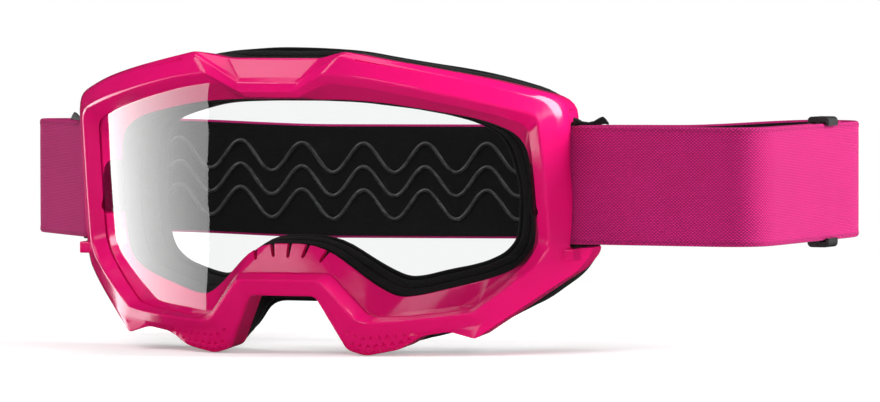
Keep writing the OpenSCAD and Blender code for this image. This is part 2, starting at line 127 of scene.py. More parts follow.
FRONT_INNER = [
    (9.8, 91.6, 1, -0.4), (21.5, 98, 2, -3), (35, 96.3, 5, -4), (51, 92.8, 6, -4),
    (71.5, 87.6, 7, -3.6), (85, 83.2, 3, -2.6), (86, 60, 6, -2.4), (86.2, 37, 3, -2.4),
    (82.8, 31.2, 2, -2.4), (73.5, 23, 4, -2.6), (64, 15.2, 1.5, -3), (55.8, 13.9, 2, -3),
    (48, 13.2, 2, -3), (40.4, 12.3, 2, -2.6), (31, 11.7, 2, -2.4), (27, 12.6, 2, -2.4),
    (15.4, 26.4, 2, -2.4),
]
LENS_EDGE = [
    (9.6, 89.6, 1, 5), (20.5, 94.6, 2, 4), (34.2, 92.8, 5, 4), (50, 89.3, 6, 4.6),
    (69.5, 84.2, 7, 5.4), (80.2, 79.6, 3, 6), (81, 60, 6, 6), (81.2, 38.5, 3, 6),
    (78, 32.4, 2, 6), (71, 24.6, 4, 5.6), (62.4, 16.6, 1.5, 5), (55.6, 15.2, 2, 4.6),
    (48, 14.4, 2, 4.4), (40.8, 13.6, 2, 4.4), (32.4, 13.4, 2, 4.4), (29, 14.6, 2, 4.4),
    (17.4, 28.6, 2, 4.4),
]
EYE_RIM = [
    (9, 88.6, 4, 19), (22, 88.4, 5, 19), (34, 87.4, 5, 19), (48, 85, 6, 19), (65, 81.4, 7, 19),
    (76, 75, 8, 19), (77.6, 58, 6, 19), (77.4, 40, 7, 19), (75, 32, 6, 19), (68, 27.8, 6, 19),
    (60, 25.2, 4, 19), (55, 23.9, 3, 19), (48.5, 22.2, 3, 18), (42, 20.6, 3, 17),
    (35.5, 20, 4, 16), (29, 24, 5, 15), (12, 38.8, 9, 12),
]
FACE_INNER = [
    (9, 88, 4, 34), (22, 87.4, 5, 34), (34, 85.8, 5, 37), (45, 83.6, 6, 40), (56, 80.4, 7, 43),
    (63.5, 74, 8, 45), (66.5, 57, 6, 45), (65.6, 40, 7, 44), (62, 34.4, 6, 42), (57, 31.6, 6, 40),
    (52, 30, 4, 38), (48, 29.2, 3, 37), (44, 28.3, 3, 36), (39, 27, 3, 36), (34, 26.4, 4, 35),
    (28.5, 29, 5, 34), (12, 41, 9, 30),
]
FACE_OUTER = [
    (10, 106.4, 6, 34), (24, 105.2, 6, 34), (37, 102.6, 6, 34), (52, 100, 6, 34),
    (68, 96.4, 7, 34), (83, 90, 7, 35), (91.5, 60, 8, 36), (89.5, 34, 5, 35), (86, 26.6, 4, 34),
    (76, 17.6, 4, 34), (66, 13.4, 4, 34), (56, 9.6, 4, 34), (47, 6.6, 4, 34), (39, 4.8, 4, 34),
    (30, 5, 4, 34), (22.5, 8.6, 5, 33), (14, 17.4, 5, 30),
]

# Numbers of points along a corner's curve, and distance between points along a straight side
CORNER_STEPS = 5
SIDE_PITCH = 4.5
# Points along the small curve that rounds each fold of the section
FOLD_STEPS = 3


# ---- Points and outlines ----


def front_y(x, z):
    return WRAP_R - math.sqrt(WRAP_R**2 - min(abs(x), WRAP_R - 1) ** 2) + RAKE * (BROW_Z - z)


def place(p):
    """A point of the drawing frame, in metres in the row frame."""
    return Vector((p[0], p[1] - ORIGIN_Y, p[2] - EYE_Z)) * MM


def whole(half):
    """Both halves of an outline, as vectors (x, z, rounding, set-back)."""
    right = [Vector(c) for c in half]
    left = [Vector((-c[0], c[1], c[2], c[3])) for c in reversed(half)]
    return right + left


def grown(corners, t, dy=0):
    """An outline moved outwards by t, and back by dy."""
    out = []
    for i, p in enumerate(corners):
        before, after = corners[i - 1], corners[(i + 1) % len(corners)]
        u = Vector((p[0] - before[0], p[1] - before[1])).normalized()
        v = Vector((after[0] - p[0], after[1] - p[1])).normalized()
        a, b = Vector((-u.y, u.x)), Vector((-v.y, v.x))
        m = (a + b) / max(0.6, 1 + a.dot(b))
        out.append(Vector((p[0] + m.x * t, p[1] + m.y * t, p[2], p[3] + dy)))
    return out


def mixed(a, b, f):
    return [p * (1 - f) + q * f for p, q in zip(a, b)]


def eased(a, p, b, take, steps):
    """Points of the quadratic curve that rounds corner p of the path a, p, b."""
    la = (a.xy - p.xy).length
    lb = (b.xy - p.xy).length
    start = p + (a - p) * (min(take, 0.45 * la) / la)
    end = p + (b - p) * (min(take, 0.45 * lb) / lb)
    shares = [k / steps for k in range(steps + 1)]
    return [start * (1 - f) ** 2 + p * (2 * f * (1 - f)) + end * f**2 for f in shares]


def side_counts(corners):
    """How many points go along each straight side, from the lengths of one outline's sides."""
    n = len(corners)
    lengths = [(corners[(i + 1) % n].xy - corners[i].xy).length for i in range(n)]
    return [max(1, round(length / SIDE_PITCH) - 1) for length in lengths]


SIDES = side_counts(whole(OUTER_EDGE))


def loop(corners):
    """A closed loop of points on the front surface, from an outline's corners."""
    n = len(corners)
    arcs = [
        eased(corners[i - 1], corners[i], corners[(i + 1) % n], corners[i][2], CORNER_STEPS)
        for i in range(n)
    ]
    flat = []
    for i, arc in enumerate(arcs):
        start, end = arc[-1], arcs[(i + 1) % n][0]
        count = SIDES[i]
        flat += arc
        flat += [start.lerp(end, k / (count + 1)) for k in range(1, count + 1)]
    return [Vector((p[0], front_y(p[0], p[1]) + p[3], p[1])) for p in flat]


def folded(rails, takes):
    """Rails with each fold of the section replaced by a small curve; takes are its sides' lengths."""
    out = []
    for j, (rail, take) in enumerate(zip(rails, takes)):
        if not take:
            out.append(rail)
            continue
        before, after = rails[j - 1], rails[(j + 1) % len(rails)]
        rows = [[] for _ in range(FOLD_STEPS + 1)]
        for a, p, b in zip(before, rail, after):
            start = p + (a - p) * min(take / (a - p).length, 0.42)
            end = p + (b - p) * min(take / (b - p).length, 0.42)
            for k, row in enumerate(rows):
                f = k / FOLD_STEPS
                row.append(start * (1 - f) ** 2 + p * (2 * f * (1 - f)) + end * f**2)
        out += rows
    return out


# ---- Meshes ----


def new_object(name, mesh):
    piece = bpy.data.objects.new(name, mesh)
    bpy.context.scene.collection.objects.link(piece)
    return piece


def mesh_from(name, points, faces, material_rows=None):
    """An object of these points, in metres, and faces, with its normals made to face outwards."""
    mesh = bpy.data.meshes.new(name)
    mesh.from_pydata([tuple(p) for p in points], [], faces)
    if material_rows:
        mesh.polygons.foreach_set("material_index", material_rows)
    work = bmesh.new()
    work.from_mesh(mesh)
    bmesh.ops.recalc_face_normals(work, faces=work.faces)
    work.to_mesh(mesh)
    work.free()
    mesh.shade_smooth()
    return new_object(name, mesh)


def ring_faces(rows, n):
    """Faces between rows of n points each, the last row joined to the first."""
    faces = []
    for j in range(rows):
        for i in range(n):
            k = (i + 1) % n
            up = (j + 1) % rows
            faces.append((j * n + i, j * n + k, up * n + k, up * n + i))
    return faces


def ring_mesh(name, rails):
    points = [place(p) for rail in rails for p in rail]
    return mesh_from(name, points, ring_faces(len(rails), len(rails[0])))


def plate_mesh(name, rails, first, last):
    """A plate through loops, closed at both ends by a fan round a middle point."""
    n = len(rails[0])
    m = len(rails)
    points = [place(p) for rail in rails for p in rail] + [place(first), place(last)]
    faces = ring_faces(m, n)[: (m - 1) * n]
    faces += [(m * n, (i + 1) % n, i) for i in range(n)]
    faces += [((m - 1) * n + i, (m - 1) * n + (i + 1) % n, m * n + 1) for i in range(n)]
    return mesh_from(name, points, faces)


def tube_mesh(name, rings, material_rows=None):
    """A solid through rings of equally many points in metres, closed at both ends."""
    n = len(rings[0])
    m = len(rings)
    faces = ring_faces(m, n)[: (m - 1) * n]
    faces += [tuple(reversed(range(n))), tuple((m - 1) * n + i for i in range(n))]
    return mesh_from(name, [p for ring in rings for p in ring], faces, material_rows)


def prism(outline, at, low, high, turn=None):
    """A prism: an outline in the plane of the two axes that at leaves out, from low to high along at."""
    rings = []
    for level in (low, high):
        ring = []
        for u, v in outline:
            p = Vector({"x": (level, u, v), "y": (u, level, v), "z": (u, v, level)}[at])
            ring.append(place(turn @ p if turn else p))
        rings.append(ring)
    return tube_mesh("cutter", rings)


def rounded_box(u0, u1, v0, v1, r, steps=4):
    """The outline of a rectangle with round corners."""
    out = []
    middles = [(u1 - r, v1 - r), (u0 + r, v1 - r), (u0 + r, v0 + r), (u1 - r, v0 + r)]
    for k, (cu, cv) in enumerate(middles):
        for s in range(steps + 1):
            angle = math.pi / 2 * (k + s / steps)
            out.append((cu + r * math.cos(angle), cv + r * math.sin(angle)))
    return out


def joined(pieces, name):
    """One object from several, which it uses up."""
    work = bmesh.new()
    for piece in pieces:
        work.from_mesh(piece.data)
    mesh = bpy.data.meshes.new(name)
    work.to_mesh(mesh)
    work.free()
    for piece in pieces:
        bpy.data.objects.remove(piece)
    return new_object(name, mesh)


def settle(piece):
    """Applies every modifier of a piece."""
    bpy.context.view_layer.update()
    graph = bpy.context.evaluated_depsgraph_get()
    mesh = bpy.data.meshes.new_from_object(piece.evaluated_get(graph), depsgraph=graph)
    piece.modifiers.clear()
    piece.data = mesh
    return piece


def combine(piece, other, operation):
    """Cuts other from piece, or joins it, and uses it up."""
    step = piece.modifiers.new(operation.lower(), "BOOLEAN")
    step.operation = operation
    step.solver = "EXACT"
    step.object = other
    settle(piece)
    bpy.data.objects.remove(other)
    return piece


def finish_shading(piece, angle):
    """Keeps edges sharper than the angle crisp, and weights the rest by face area."""
    piece.data.shade_smooth()
    piece.data.set_sharp_from_angle(angle=math.radians(angle))
    weighted = piece.modifiers.new("weighted", "WEIGHTED_NORMAL")
    weighted.keep_sharp = True
    return settle(piece)


def dress(piece, body, material, slot, *nodes):
    """Gives a piece its material and its body, and hides the construction nodes it stands for. The finish
    slot is not used.
    """
    if not piece.data.materials:
        piece.data.materials.append(material)
    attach(piece, body)
    if nodes:
        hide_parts(*nodes)
    return piece


# ---- Materials ----


class Recipe:
    """The node tree of a material or a world, and short ways to add to it."""

    def __init__(self, name, world=False):
        self.owner = (bpy.data.worlds if world else bpy.data.materials).new(name)
        self.owner.use_nodes = True
        self.tree = self.owner.node_tree
        self.tree.nodes.clear()
        self.output = self.tree.nodes.new("ShaderNodeOutput" + ("World" if world else "Material"))

    def add(self, kind, settings=None, **inputs):
        """A node with these settings. An input is a value, or a socket to join to it."""
        made = self.tree.nodes.new("ShaderNode" + kind)
        for key, value in (settings or {}).items():
            setattr(made, key, value)
        for key, value in inputs.items():
            socket = made.inputs[int(key[1:]) if key[1:].isdigit() else key.replace("_", " ")]
            if isinstance(value, bpy.types.NodeSocket):
                self.tree.links.new(value, socket)
            else:
                socket.default_value = value
        return made

    def point(self):
        """Where a point lies on its piece, in metres."""
        return self.add("TexCoord").outputs["Object"]

    def stretched(self, where, scale):
        return self.add("Mapping", Vector=where, Scale=scale).outputs[0]

    def math(self, operation, a, b=0.0, c=0.0):
        return self.add("Math", {"operation": operation}, i0=a, i1=b, i2=c).outputs[0]

    def spread(self, value, low, high, start=0.0, stop=1.0, how="LINEAR"):
        """From low to high as the value goes from start to stop."""
        settings = {"interpolation_type": how}
        return self.add("MapRange", settings, Value=value, i1=start, i2=stop, i3=low, i4=high).outputs[0]

    def ramp(self, factor, low, high, colours):
        """A colour or grey mixed between two as the factor goes from low to high."""
        made = self.add("ValToRGB", Fac=factor)
        for element, place_at, colour in zip(made.color_ramp.elements, (low, high), colours):
            element.position = place_at
            element.color = colour
        return made.outputs[0]

    def mix(self, factor, a, b):
        return self.add("Mix", {"data_type": "RGBA"}, i0=factor, i6=a, i7=b).outputs[2]

    def bump(self, height, distance, strength):
        return self.add("Bump", Height=height, Distance=distance, Strength=strength).outputs[0]

    def noise(self, where, scale, detail=2.0, rough=0.5):
        return self.add("TexNoise", Vector=where, Scale=scale, Detail=detail, Roughness=rough).outputs[0]

    def cells(self, where, scale):
        return self.add("TexVoronoi", Vector=where, Scale=scale).outputs["Distance"]

    def finish(self, surface):
        self.tree.links.new(surface, self.output.inputs["Surface"])
        return self.owner

    def principled(self, **inputs):
        """Finishes the material with one principled shader."""
        return self.finish(self.add("BsdfPrincipled", **inputs).outputs[0])


def rgba(colour, factor=1.0):
    return (colour[0] * factor, colour[1] * factor, colour[2] * factor, 1.0)


def two_tones(colour, dark, light):
    return (rgba(colour, dark), rgba(colour, light))


def gloss_plastic(sizes):
    """Injection-moulded pink: a faint orange-peel skin, a slow drift of colour, fine handling marks."""
    recipe = Recipe("gloss_pink")
    where = recipe.point()
    drift = recipe.noise(where, 22.0)
    peel = recipe.noise(where, 1400.0, 1.0)
    marks = recipe.noise(recipe.stretched(where, (900.0, 60.0, 300.0)), 1.0, 3.0)
    gloss = sizes.frame_gloss
    return recipe.principled(
        Base_Color=recipe.ramp(drift, 0.3, 0.7, two_tones(sizes.frame_colour, 0.95, 1.05)),
        Roughness=recipe.spread(marks, gloss, gloss + 0.07, 0.35, 0.8),
        Normal=recipe.bump(peel, 0.00002, 0.25),
        IOR=1.5,
        Specular_IOR_Level=0.32,
    )


def clear_lens(sizes):
    """Polished polycarbonate: seen straight through, and mirroring more at grazing angles."""
    recipe = Recipe("clear_polycarbonate")
    wipe = recipe.noise(recipe.stretched(recipe.point(), (30.0, 30.0, 240.0)), 1.0, 3.0)
    rough = recipe.spread(wipe, 0.012, 0.05, 0.3, 0.9)
    through = recipe.add("BsdfTransparent", Color=(0.985, 0.99, 0.99, 1.0))
    gloss = recipe.add("BsdfGlossy", Color=(1.0, 1.0, 1.0, 1.0), Roughness=rough)
    fresnel = recipe.add("Fresnel", IOR=sizes.lens_ior).outputs[0]
    facing = recipe.math("SUBTRACT", 1.0, recipe.add("NewGeometry").outputs["Backfacing"])
    share = recipe.math("MULTIPLY", fresnel, facing)
    surface = recipe.add("MixShader", i0=share, i1=through.outputs[0], i2=gloss.outputs[0])
    return recipe.finish(surface.outputs[0])


def cell_foam(name, colour, cell, depth, seed):
    """Open-cell foam: pores at two scales with painted shade in them, and a dusty, almost matt black."""
    recipe = Recipe(name)
    shift = (seed, seed * 0.7, seed * 0.3)
    moved = recipe.add("Mapping", Vector=recipe.point(), Location=shift).outputs[0]
    pores = recipe.cells(moved, 1.0 / cell)
    small = recipe.cells(moved, 2.7 / cell)
    both = recipe.math("MULTIPLY_ADD", small, 0.5, pores)
    tone = recipe.noise(moved, 60.0, 3.0)
    # Darker in the pores, which are the pits of the bump, and lighter on the cell walls: painted shade in
    # the pores
    shade = recipe.ramp(both, 0.15, 0.85, two_tones(colour, 0.35, 1.5))
    return recipe.principled(
        Base_Color=recipe.mix(recipe.math("MULTIPLY", tone, 0.35), shade, rgba(colour, 2.0)),
        Roughness=recipe.spread(tone, 0.85, 1.0),
        Normal=recipe.bump(both, depth, 0.9),
        Sheen_Weight=0.03,
        Sheen_Roughness=0.5,
        Specular_IOR_Level=0.2,
    )


def brushed_fleece(colour):
    """Short brushed pile: fine fibres over soft clumps, with a dark sheen."""
    recipe = Recipe("brushed_fleece")
    where = recipe.point()
    clumps = recipe.noise(where, 260.0, 4.0, 0.65)
    fibres = recipe.noise(recipe.stretched(where, (1800.0, 5200.0, 2600.0)), 1.0, 4.0)
    pile = recipe.math("MULTIPLY_ADD", fibres, 0.6, clumps)
    return recipe.principled(
        Base_Color=recipe.ramp(pile, 0.5, 1.1, two_tones(colour, 0.4, 1.8)),
        Roughness=recipe.spread(clumps, 0.88, 1.0),
        Normal=recipe.bump(pile, 0.0003, 0.8),
        Sheen_Weight=0.08,
        Sheen_Roughness=0.4,
        Specular_IOR_Level=0.15,
    )


def webbing(sizes, name, colour, sheen, felted):
    """Elastic webbing by its own length and height: weft dots over warp ribs with painted light on the dots
    and painted shade between them, and stitched selvages.
    """
    recipe = Recipe(name)
    across = recipe.add("UVMap", {"uv_map": "along"}).outputs[0]
    axes = recipe.add("SeparateXYZ", Vector=across)
    along, up = axes.outputs[0], axes.outputs[1]
    pitch = sizes.weave_pitch / MM
    turn = 2 * math.pi / pitch
    warp = recipe.math("SINE", recipe.math("MULTIPLY", up, turn * 1.18))
    half = recipe.math("MULTIPLY", recipe.math("GREATER_THAN", warp, 0.0), math.pi)
    weft = recipe.math("SINE", recipe.math("MULTIPLY_ADD", along, turn, half))
    bright = recipe.math("MULTIPLY_ADD", weft, 0.5, 0.5)
    dots = recipe.math("MULTIPLY", recipe.math("ABSOLUTE", warp), bright)
    where = recipe.point()
    fuzz = recipe.noise(where, 1900.0, 3.0, 0.7)
    drift = recipe.noise(where, 45.0, 2.0)
    # Scalloped stitches run just inside each edge, where the height passes the selvage line
    edge = recipe.math("SUBTRACT", sizes.strap_width / MM / 2, recipe.math("ABSOLUTE", up))
    zigzag = recipe.math("PINGPONG", along, pitch * 0.8)
    stitch = recipe.math("COMPARE", edge, recipe.math("MULTIPLY_ADD", zigzag, 0.9, 0.7), 0.22)
    height = recipe.math("MULTIPLY_ADD", fuzz, 0.9 if felted else 0.35, dots)
    height = recipe.math("SUBTRACT", height, recipe.math("MULTIPLY", stitch, 0.8))
    # Base colour lighter on the raised weft dots and darker between them: painted light and painted shade
    # on the weave
    base = recipe.ramp(dots, 0.05, 0.75, two_tones(colour, 0.4, 1.3))
    base = recipe.mix(recipe.math("MULTIPLY", drift, 0.3), base, rgba(colour, 1.25))
    base = recipe.mix(recipe.math("MULTIPLY", stitch, 0.55), base, rgba(colour, 0.35))
    if felted:
        border = recipe.math("LESS_THAN", edge, 0.75)
        base = recipe.mix(border, base, rgba(sizes.strap_colour, 0.9))
    return recipe.principled(
        Base_Color=base,
        Roughness=recipe.spread(fuzz, 0.72, 0.95),
        Normal=recipe.bump(height, 0.00016, 0.8),
        Sheen_Weight=sheen,
        Sheen_Roughness=0.35,
        Sheen_Tint=rgba([min(1.0, 0.35 + c) for c in colour]),
        Specular_IOR_Level=0.25,
    )


def satin_silicone():
    """Silicone laid from a nozzle: dark, smooth, with faint ripples."""
    recipe = Recipe("satin_silicone")
    ripple = recipe.noise(recipe.point(), 520.0, 2.0)
    greys = ((0.025, 0.025, 0.026, 1.0), (0.07, 0.07, 0.072, 1.0))
    return recipe.principled(
        Base_Color=recipe.ramp(ripple, 0.3, 0.75, greys),
        Roughness=recipe.spread(ripple, 0.22, 0.42),
        Normal=recipe.bump(ripple, 0.0003, 0.6),
        Coat_Weight=0.3,
        Coat_Roughness=0.15,
    )


def moulded_black(name, tone, rough):
    """Moulded black nylon or rubber: a fine grain, and slightly more polished patches."""
    recipe = Recipe(name)
    where = recipe.point()
    grain = recipe.noise(where, 2600.0, 3.0, 0.6)
    patches = recipe.noise(where, 110.0, 2.0)
    return recipe.principled(
        Base_Color=recipe.ramp(patches, 0.3, 0.7, two_tones((tone,) * 3, 0.8, 1.25)),
        Roughness=recipe.spread(patches, rough - 0.07, rough + 0.08),
        Normal=recipe.bump(grain, 0.00006, 0.5),
    )


# ---- Frame shell ----

OUTER = whole(OUTER_EDGE)
LENS_LINE = whole(LENS_EDGE)
RIM = whole(EYE_RIM)
GROOVE_FLOOR = grown(LENS_LINE, LENS_LIP + LENS_GAP)
WALL_BACK = grown(OUTER, -1, WALL_DEPTH)
RIM_BACK = grown(RIM, 0.6, WALL)

BAR_X = 90.4
BAR_Y = front_y(BAR_X, EYE_Z) + 8
LOOP_R = BAR_R + STRAP_GAP + STRAP_T / 2
POST_BACK = BAR_Y - LOOP_R - STRAP_T / 2 - STRAP_GAP - 0.5
WINDOW_X = BAR_X - LOOP_R - STRAP_T / 2 - STRAP_GAP
STRAP_HALF = 20.5
WINDOW_ROOM = 1.5


def frame_rails():
    """The section of the shell, from the back of its outer wall round the front to the eye rim and back."""
    channel = grown(mixed(GROOVE_FLOOR, OUTER, 0.5), 0, 5.5)
    rails = [
        WALL_BACK, OUTER, whole(PANEL_FOOT), whole(LIP_TOP), whole(FRONT_OUTER), whole(FRONT_INNER),
        LENS_LINE, GROOVE_FLOOR, grown(GROOVE_FLOOR, 0, GROOVE), grown(LENS_LINE, 0, GROOVE),
        RIM, RIM_BACK, grown(RIM, WALL, 1), channel, grown(WALL_BACK, -WALL),
    ]
    takes = [0.5, 0.9, 0.5, 0.6, 0.9, 1.1, 0.5, 0, 0, 0.4, 0.8, 0.8, 0.6, 2.5, 0.5]
    return folded([loop(corners) for corners in rails], takes)


def mirrored_pair(make):
    """The pieces that make(side) gives, first where x is positive, which is on the wearer's left."""
    return [make(1), make(-1)]


def strap_window(side):
    bottom, top = STRAP_Z - STRAP_HALF - WINDOW_ROOM, STRAP_Z + STRAP_HALF + WINDOW_ROOM
    outline = rounded_box(POST_BACK, POST_BACK + 40, bottom, top, 1.5)
    return prism(outline, "x", side * WINDOW_X, side * (WINDOW_X + 30))


# Vents, as (x of the middle, lower and upper end of the cutter), and the size of each
VENTS = ((36, 94.2, 110), (51, 91.9, 110), (66, 89.7, 110), (56, -4.4, 9.6))
VENT_HALF, VENT_DEPTH, VENT_CORNER = 6, 5, 1.6
VENT_SET_BACK = 10


def vents(side):
    """Three vents through the top wall and one through the bottom, each square to the wrapped front."""
    outline = rounded_box(-VENT_HALF, VENT_HALF, 0, VENT_DEPTH, VENT_CORNER)
    made = []
    for x, low, high in VENTS:
        slant = math.asin(x / WRAP_R) * side
        y = front_y(x, (low + high) / 2) + VENT_SET_BACK
        turn = Matrix.Translation((side * x, y, 0)) @ Matrix.Rotation(slant, 4, "Z")
        made.append(prism(outline, "z", low, high, turn))
    return joined(made, "vents")


def side_notch(side):
    """Opening in the rim's side, where the foam shows."""
    outline = rounded_box(49, 75, 47, 66, 3)
    return prism(outline, "x", side * 70, side * 82.6)


# Slits over the nose, as (x of the middle, lean of the tip, reach below the rim), and half their widths
NOSE_SLITS = ((-13.6, 1.9, 3.4), (-6.6, 1.5, 4.6), (0.4, 0, 5.4), (7.4, -1.5, 4.6), (14.4, -2, 3.6))
SLIT_ROOT, SLIT_TIP = 1.15, 0.6
ARCH_TOP, ARCH_FALL = 39.6, 0.016


def nose_slits():
    """Five tapered slits in the arch over the nose, that let its rim flex."""
    made = []
    for x, lean, reach in NOSE_SLITS:
        rim_z = ARCH_TOP - ARCH_FALL * x * x
        root_x, tip_z = x - lean * 0.4, rim_z - reach
        outline = [
            (root_x - SLIT_ROOT, rim_z + 3), (root_x + SLIT_ROOT, rim_z + 3),
            (x + lean + SLIT_TIP, tip_z), (x + lean, tip_z - 0.5), (x + lean - SLIT_TIP, tip_z),
        ]
        made.append(prism(outline, "y", 6, 30))
    return joined(made, "slits")


def on_strip(a, b, i, f):
    """The point at share f between two loops at index i, with its outward normal and direction along."""
    n = len(a)
    p = a[i].lerp(b[i], f)
    ahead = a[(i + 2) % n].lerp(b[(i + 2) % n], f)
    back = a[i - 2].lerp(b[i - 2], f)
    along = (ahead - back).normalized()
    across = (b[i] - a[i]).normalized()
    normal = along.cross(across).normalized()
    if normal.y > 0:
        normal = -normal
    return p, normal, along


DIMPLES_FROM, DIMPLE_PITCH, DIMPLES_IN_ROW = 22.8, 2.7, 9
DIMPLE_SIZE, DIMPLE_DEEP = 1.15, 0.75


def ridge_dimples():
    """Three staggered rows of small three-sided dimples along both cheek ridges."""
    outer, foot, lip, face = (loop(whole(o)) for o in (OUTER_EDGE, PANEL_FOOT, LIP_TOP, FRONT_OUTER))
    rows = ((lip, face, 0.42, 0), (foot, lip, 0.5, 0.5), (outer, foot, 0.6, 0))
    points, faces = [], []
    for side in (1, -1):
        for low, high, share, shift in rows:
            for k in range(DIMPLES_IN_ROW):
                x = side * (DIMPLES_FROM + (k + shift) * DIMPLE_PITCH)
                near = [i for i in range(len(low)) if low[i].z < 9.5 and low[i].x * side > 0]
                i = min(near, key=lambda j: abs(low[j].lerp(high[j], share).x - x))
                p, normal, along = on_strip(low, high, i, share)
                p = p + along * ((x - p.x) / along.x)
                up = normal.cross(along)
                up = up if up.z > 0 else -up
                base = len(points)
                for a, b in ((-1, -0.6), (1, -0.6), (0, 1)):
                    corner = (along * a + up * b) * DIMPLE_SIZE * 1.4
                    points.append(place(p + corner + normal * 0.35))
                points.append(place(p - normal * DIMPLE_DEEP))
                faces += [tuple(base + q for q in f) for f in ((0, 1, 2), (0, 1, 3), (1, 2, 3), (2, 0, 3))]
    return mesh_from("dimples", points, faces)


def wing_crease(side):
    """A fine groove under the top edge of each brow wing, deepest at its inner end."""
    lip, face = loop(whole(LIP_TOP)), loop(whole(FRONT_OUTER))
    wanted = [i for i in range(len(lip)) if lip[i].z > 92 and 31 < lip[i].x * side < 58]
    wanted.sort(key=lambda i: lip[i].x * side)
    rings = []
    for i in wanted:
        p, normal, along = on_strip(lip, face, i, 0.8)
        up = normal.cross(along)
        up = up if up.z > 0 else -up
        fade = 1 - (abs(p.x) - 31) / 27
        deep = 0.15 + 0.75 * fade
        upper = p + up * 0.55 * fade + normal * 0.5
        lower = p - up * 0.4 + normal * 0.5
        rings.append([place(upper), place(p - normal * deep), place(lower)])
    return tube_mesh("crease", rings)


def strap_carrier(side):
    """The round bar behind the side post, and the two blocks that carry it."""
    low, high = STRAP_Z - STRAP_HALF - WINDOW_ROOM, STRAP_Z + STRAP_HALF + WINDOW_ROOM
    circle = [(math.cos(a) * BAR_R, math.sin(a) * BAR_R) for a in (k * math.pi / 12 for k in range(24))]
    x0 = BAR_X - BAR_R - 1.6
    y0 = POST_BACK - 2
    y1 = BAR_Y + BAR_R
    bar = prism([(side * BAR_X + u, BAR_Y + v) for u, v in circle], "z", low - 1, high + 1)
    blocks = []
    for width, depth, z0, z1 in ((6, y1, low - 4, low), (4.6, y1 - 0.8, high, high + 4)):
        outline = rounded_box(y0, depth, z0, z1, 0.7)
        blocks.append(prism(outline, "x", side * x0, side * (x0 + width)))
    return joined([bar, *blocks], "carrier")


class GogglesSizes(bpy.types.PropertyGroup):
    """Sizes and colours of the goggles."""

    frame_colour: bpy.props.FloatVectorProperty(
        name="Frame colour", description="Base colour of the moulded frame",
        subtype="COLOR", size=3, min=0, max=1, default=(0.82, 0.006, 0.165),
    )
    frame_gloss: bpy.props.FloatProperty(
        name="Frame roughness", description="Roughness of the moulded frame's polished skin",
        subtype="FACTOR", min=0, max=1, default=0.13,
    )
    lens_ior: bpy.props.FloatProperty(
        name="Lens index", description="Index of refraction that sets how strongly the lens mirrors",
        min=1.1, max=2.2, default=1.7,
    )
    strap_colour: bpy.props.FloatVectorProperty(
        name="Webbing colour", description="Base colour of the outer side of the webbing",
        subtype="COLOR", size=3, min=0, max=1, default=(0.54, 0.008, 0.165),
    )
    inner_colour: bpy.props.FloatVectorProperty(
        name="Lining colour", description="Base colour of the inner side of the webbing",
        subtype="COLOR", size=3, min=0, max=1, default=(0.007, 0.007, 0.0075),
    )
    strap_width: bpy.props.FloatProperty(
        name="Webbing width", description="Width of the elastic webbing",
        subtype="DISTANCE", unit="LENGTH", min=0.03, max=0.05, default=2 * STRAP_HALF * MM,
    )
    weave_pitch: bpy.props.FloatProperty(
        name="Weave pitch", description="Distance between the weft dots of the webbing",
        subtype="DISTANCE", unit="LENGTH", min=0.0004, max=0.003, default=0.0013, precision=5,
    )
    foam_colour: bpy.props.FloatVectorProperty(
        name="Foam colour", description="Base colour of the face foam",
        subtype="COLOR", size=3, min=0, max=1, default=(0.003, 0.003, 0.0032),
    )
    foam_cell: bpy.props.FloatProperty(
        name="Foam cell", description="Size of the face foam's cells",
        subtype="DISTANCE", unit="LENGTH", min=0.0003, max=0.003, default=0.0009, precision=5,
    )


class StageSizes(bpy.types.PropertyGroup):
    """Lamps and camera of the studio."""

    azimuth: bpy.props.FloatProperty(
        name="Azimuth", description="Angle of the camera round the goggles, from straight ahead",
        subtype="ANGLE", default=math.radians(20.234),
    )
    elevation: bpy.props.FloatProperty(
        name="Elevation", description="Angle of the camera above the level of the goggles",
        subtype="ANGLE", default=math.radians(2.314),
    )
    roll: bpy.props.FloatProperty(
        name="Roll", description="Roll of the camera about its own axis",
        subtype="ANGLE", default=math.radians(-0.101),
    )
    distance: bpy.props.FloatProperty(
        name="Distance", description="Distance from the camera to the point that it looks at",
        subtype="DISTANCE", unit="LENGTH", default=2.4,
    )
    lens_mm: bpy.props.FloatProperty(
        name="Focal length", description="Focal length of the camera, in millimetres", default=285.79,
    )
    fill: bpy.props.FloatProperty(
        name="Fill", description="Strength of the even light from all round", min=0, max=2, default=0.14,
    )


class GOGGLES_OT_frame_shell(bpy.types.Operator):
    """Build the moulded frame with its window, vents, notches, slits, dimples and strap bars"""

    bl_idname = "goggles.frame_shell"
    bl_label = "Frame shell"

    def execute(self, context):
        shell = ring_mesh("frame_shell", frame_rails())
        makers = (strap_window, vents, side_notch, wing_crease)
        cutters = [cutter for make in makers for cutter in mirrored_pair(make)]
        combine(shell, joined([*cutters, nose_slits()], "openings"), "DIFFERENCE")
        combine(shell, ridge_dimples(), "DIFFERENCE")
        for carrier in mirrored_pair(strap_carrier):
            combine(shell, carrier, "UNION")
        finish_shading(shell, 38)
        shell.data.materials.clear()
        dress(shell, "goggles", gloss_plastic(context.scene.goggles_sizes), "frame_pink", "frame")
        return {"FINISHED"}


# ---- Lens ----


def lens_set_back(x):
    """Set-back of the lens, a smooth curve through its groove."""
    return 4.4 + 1.6 * min(1.0, (x / 81) ** 2)


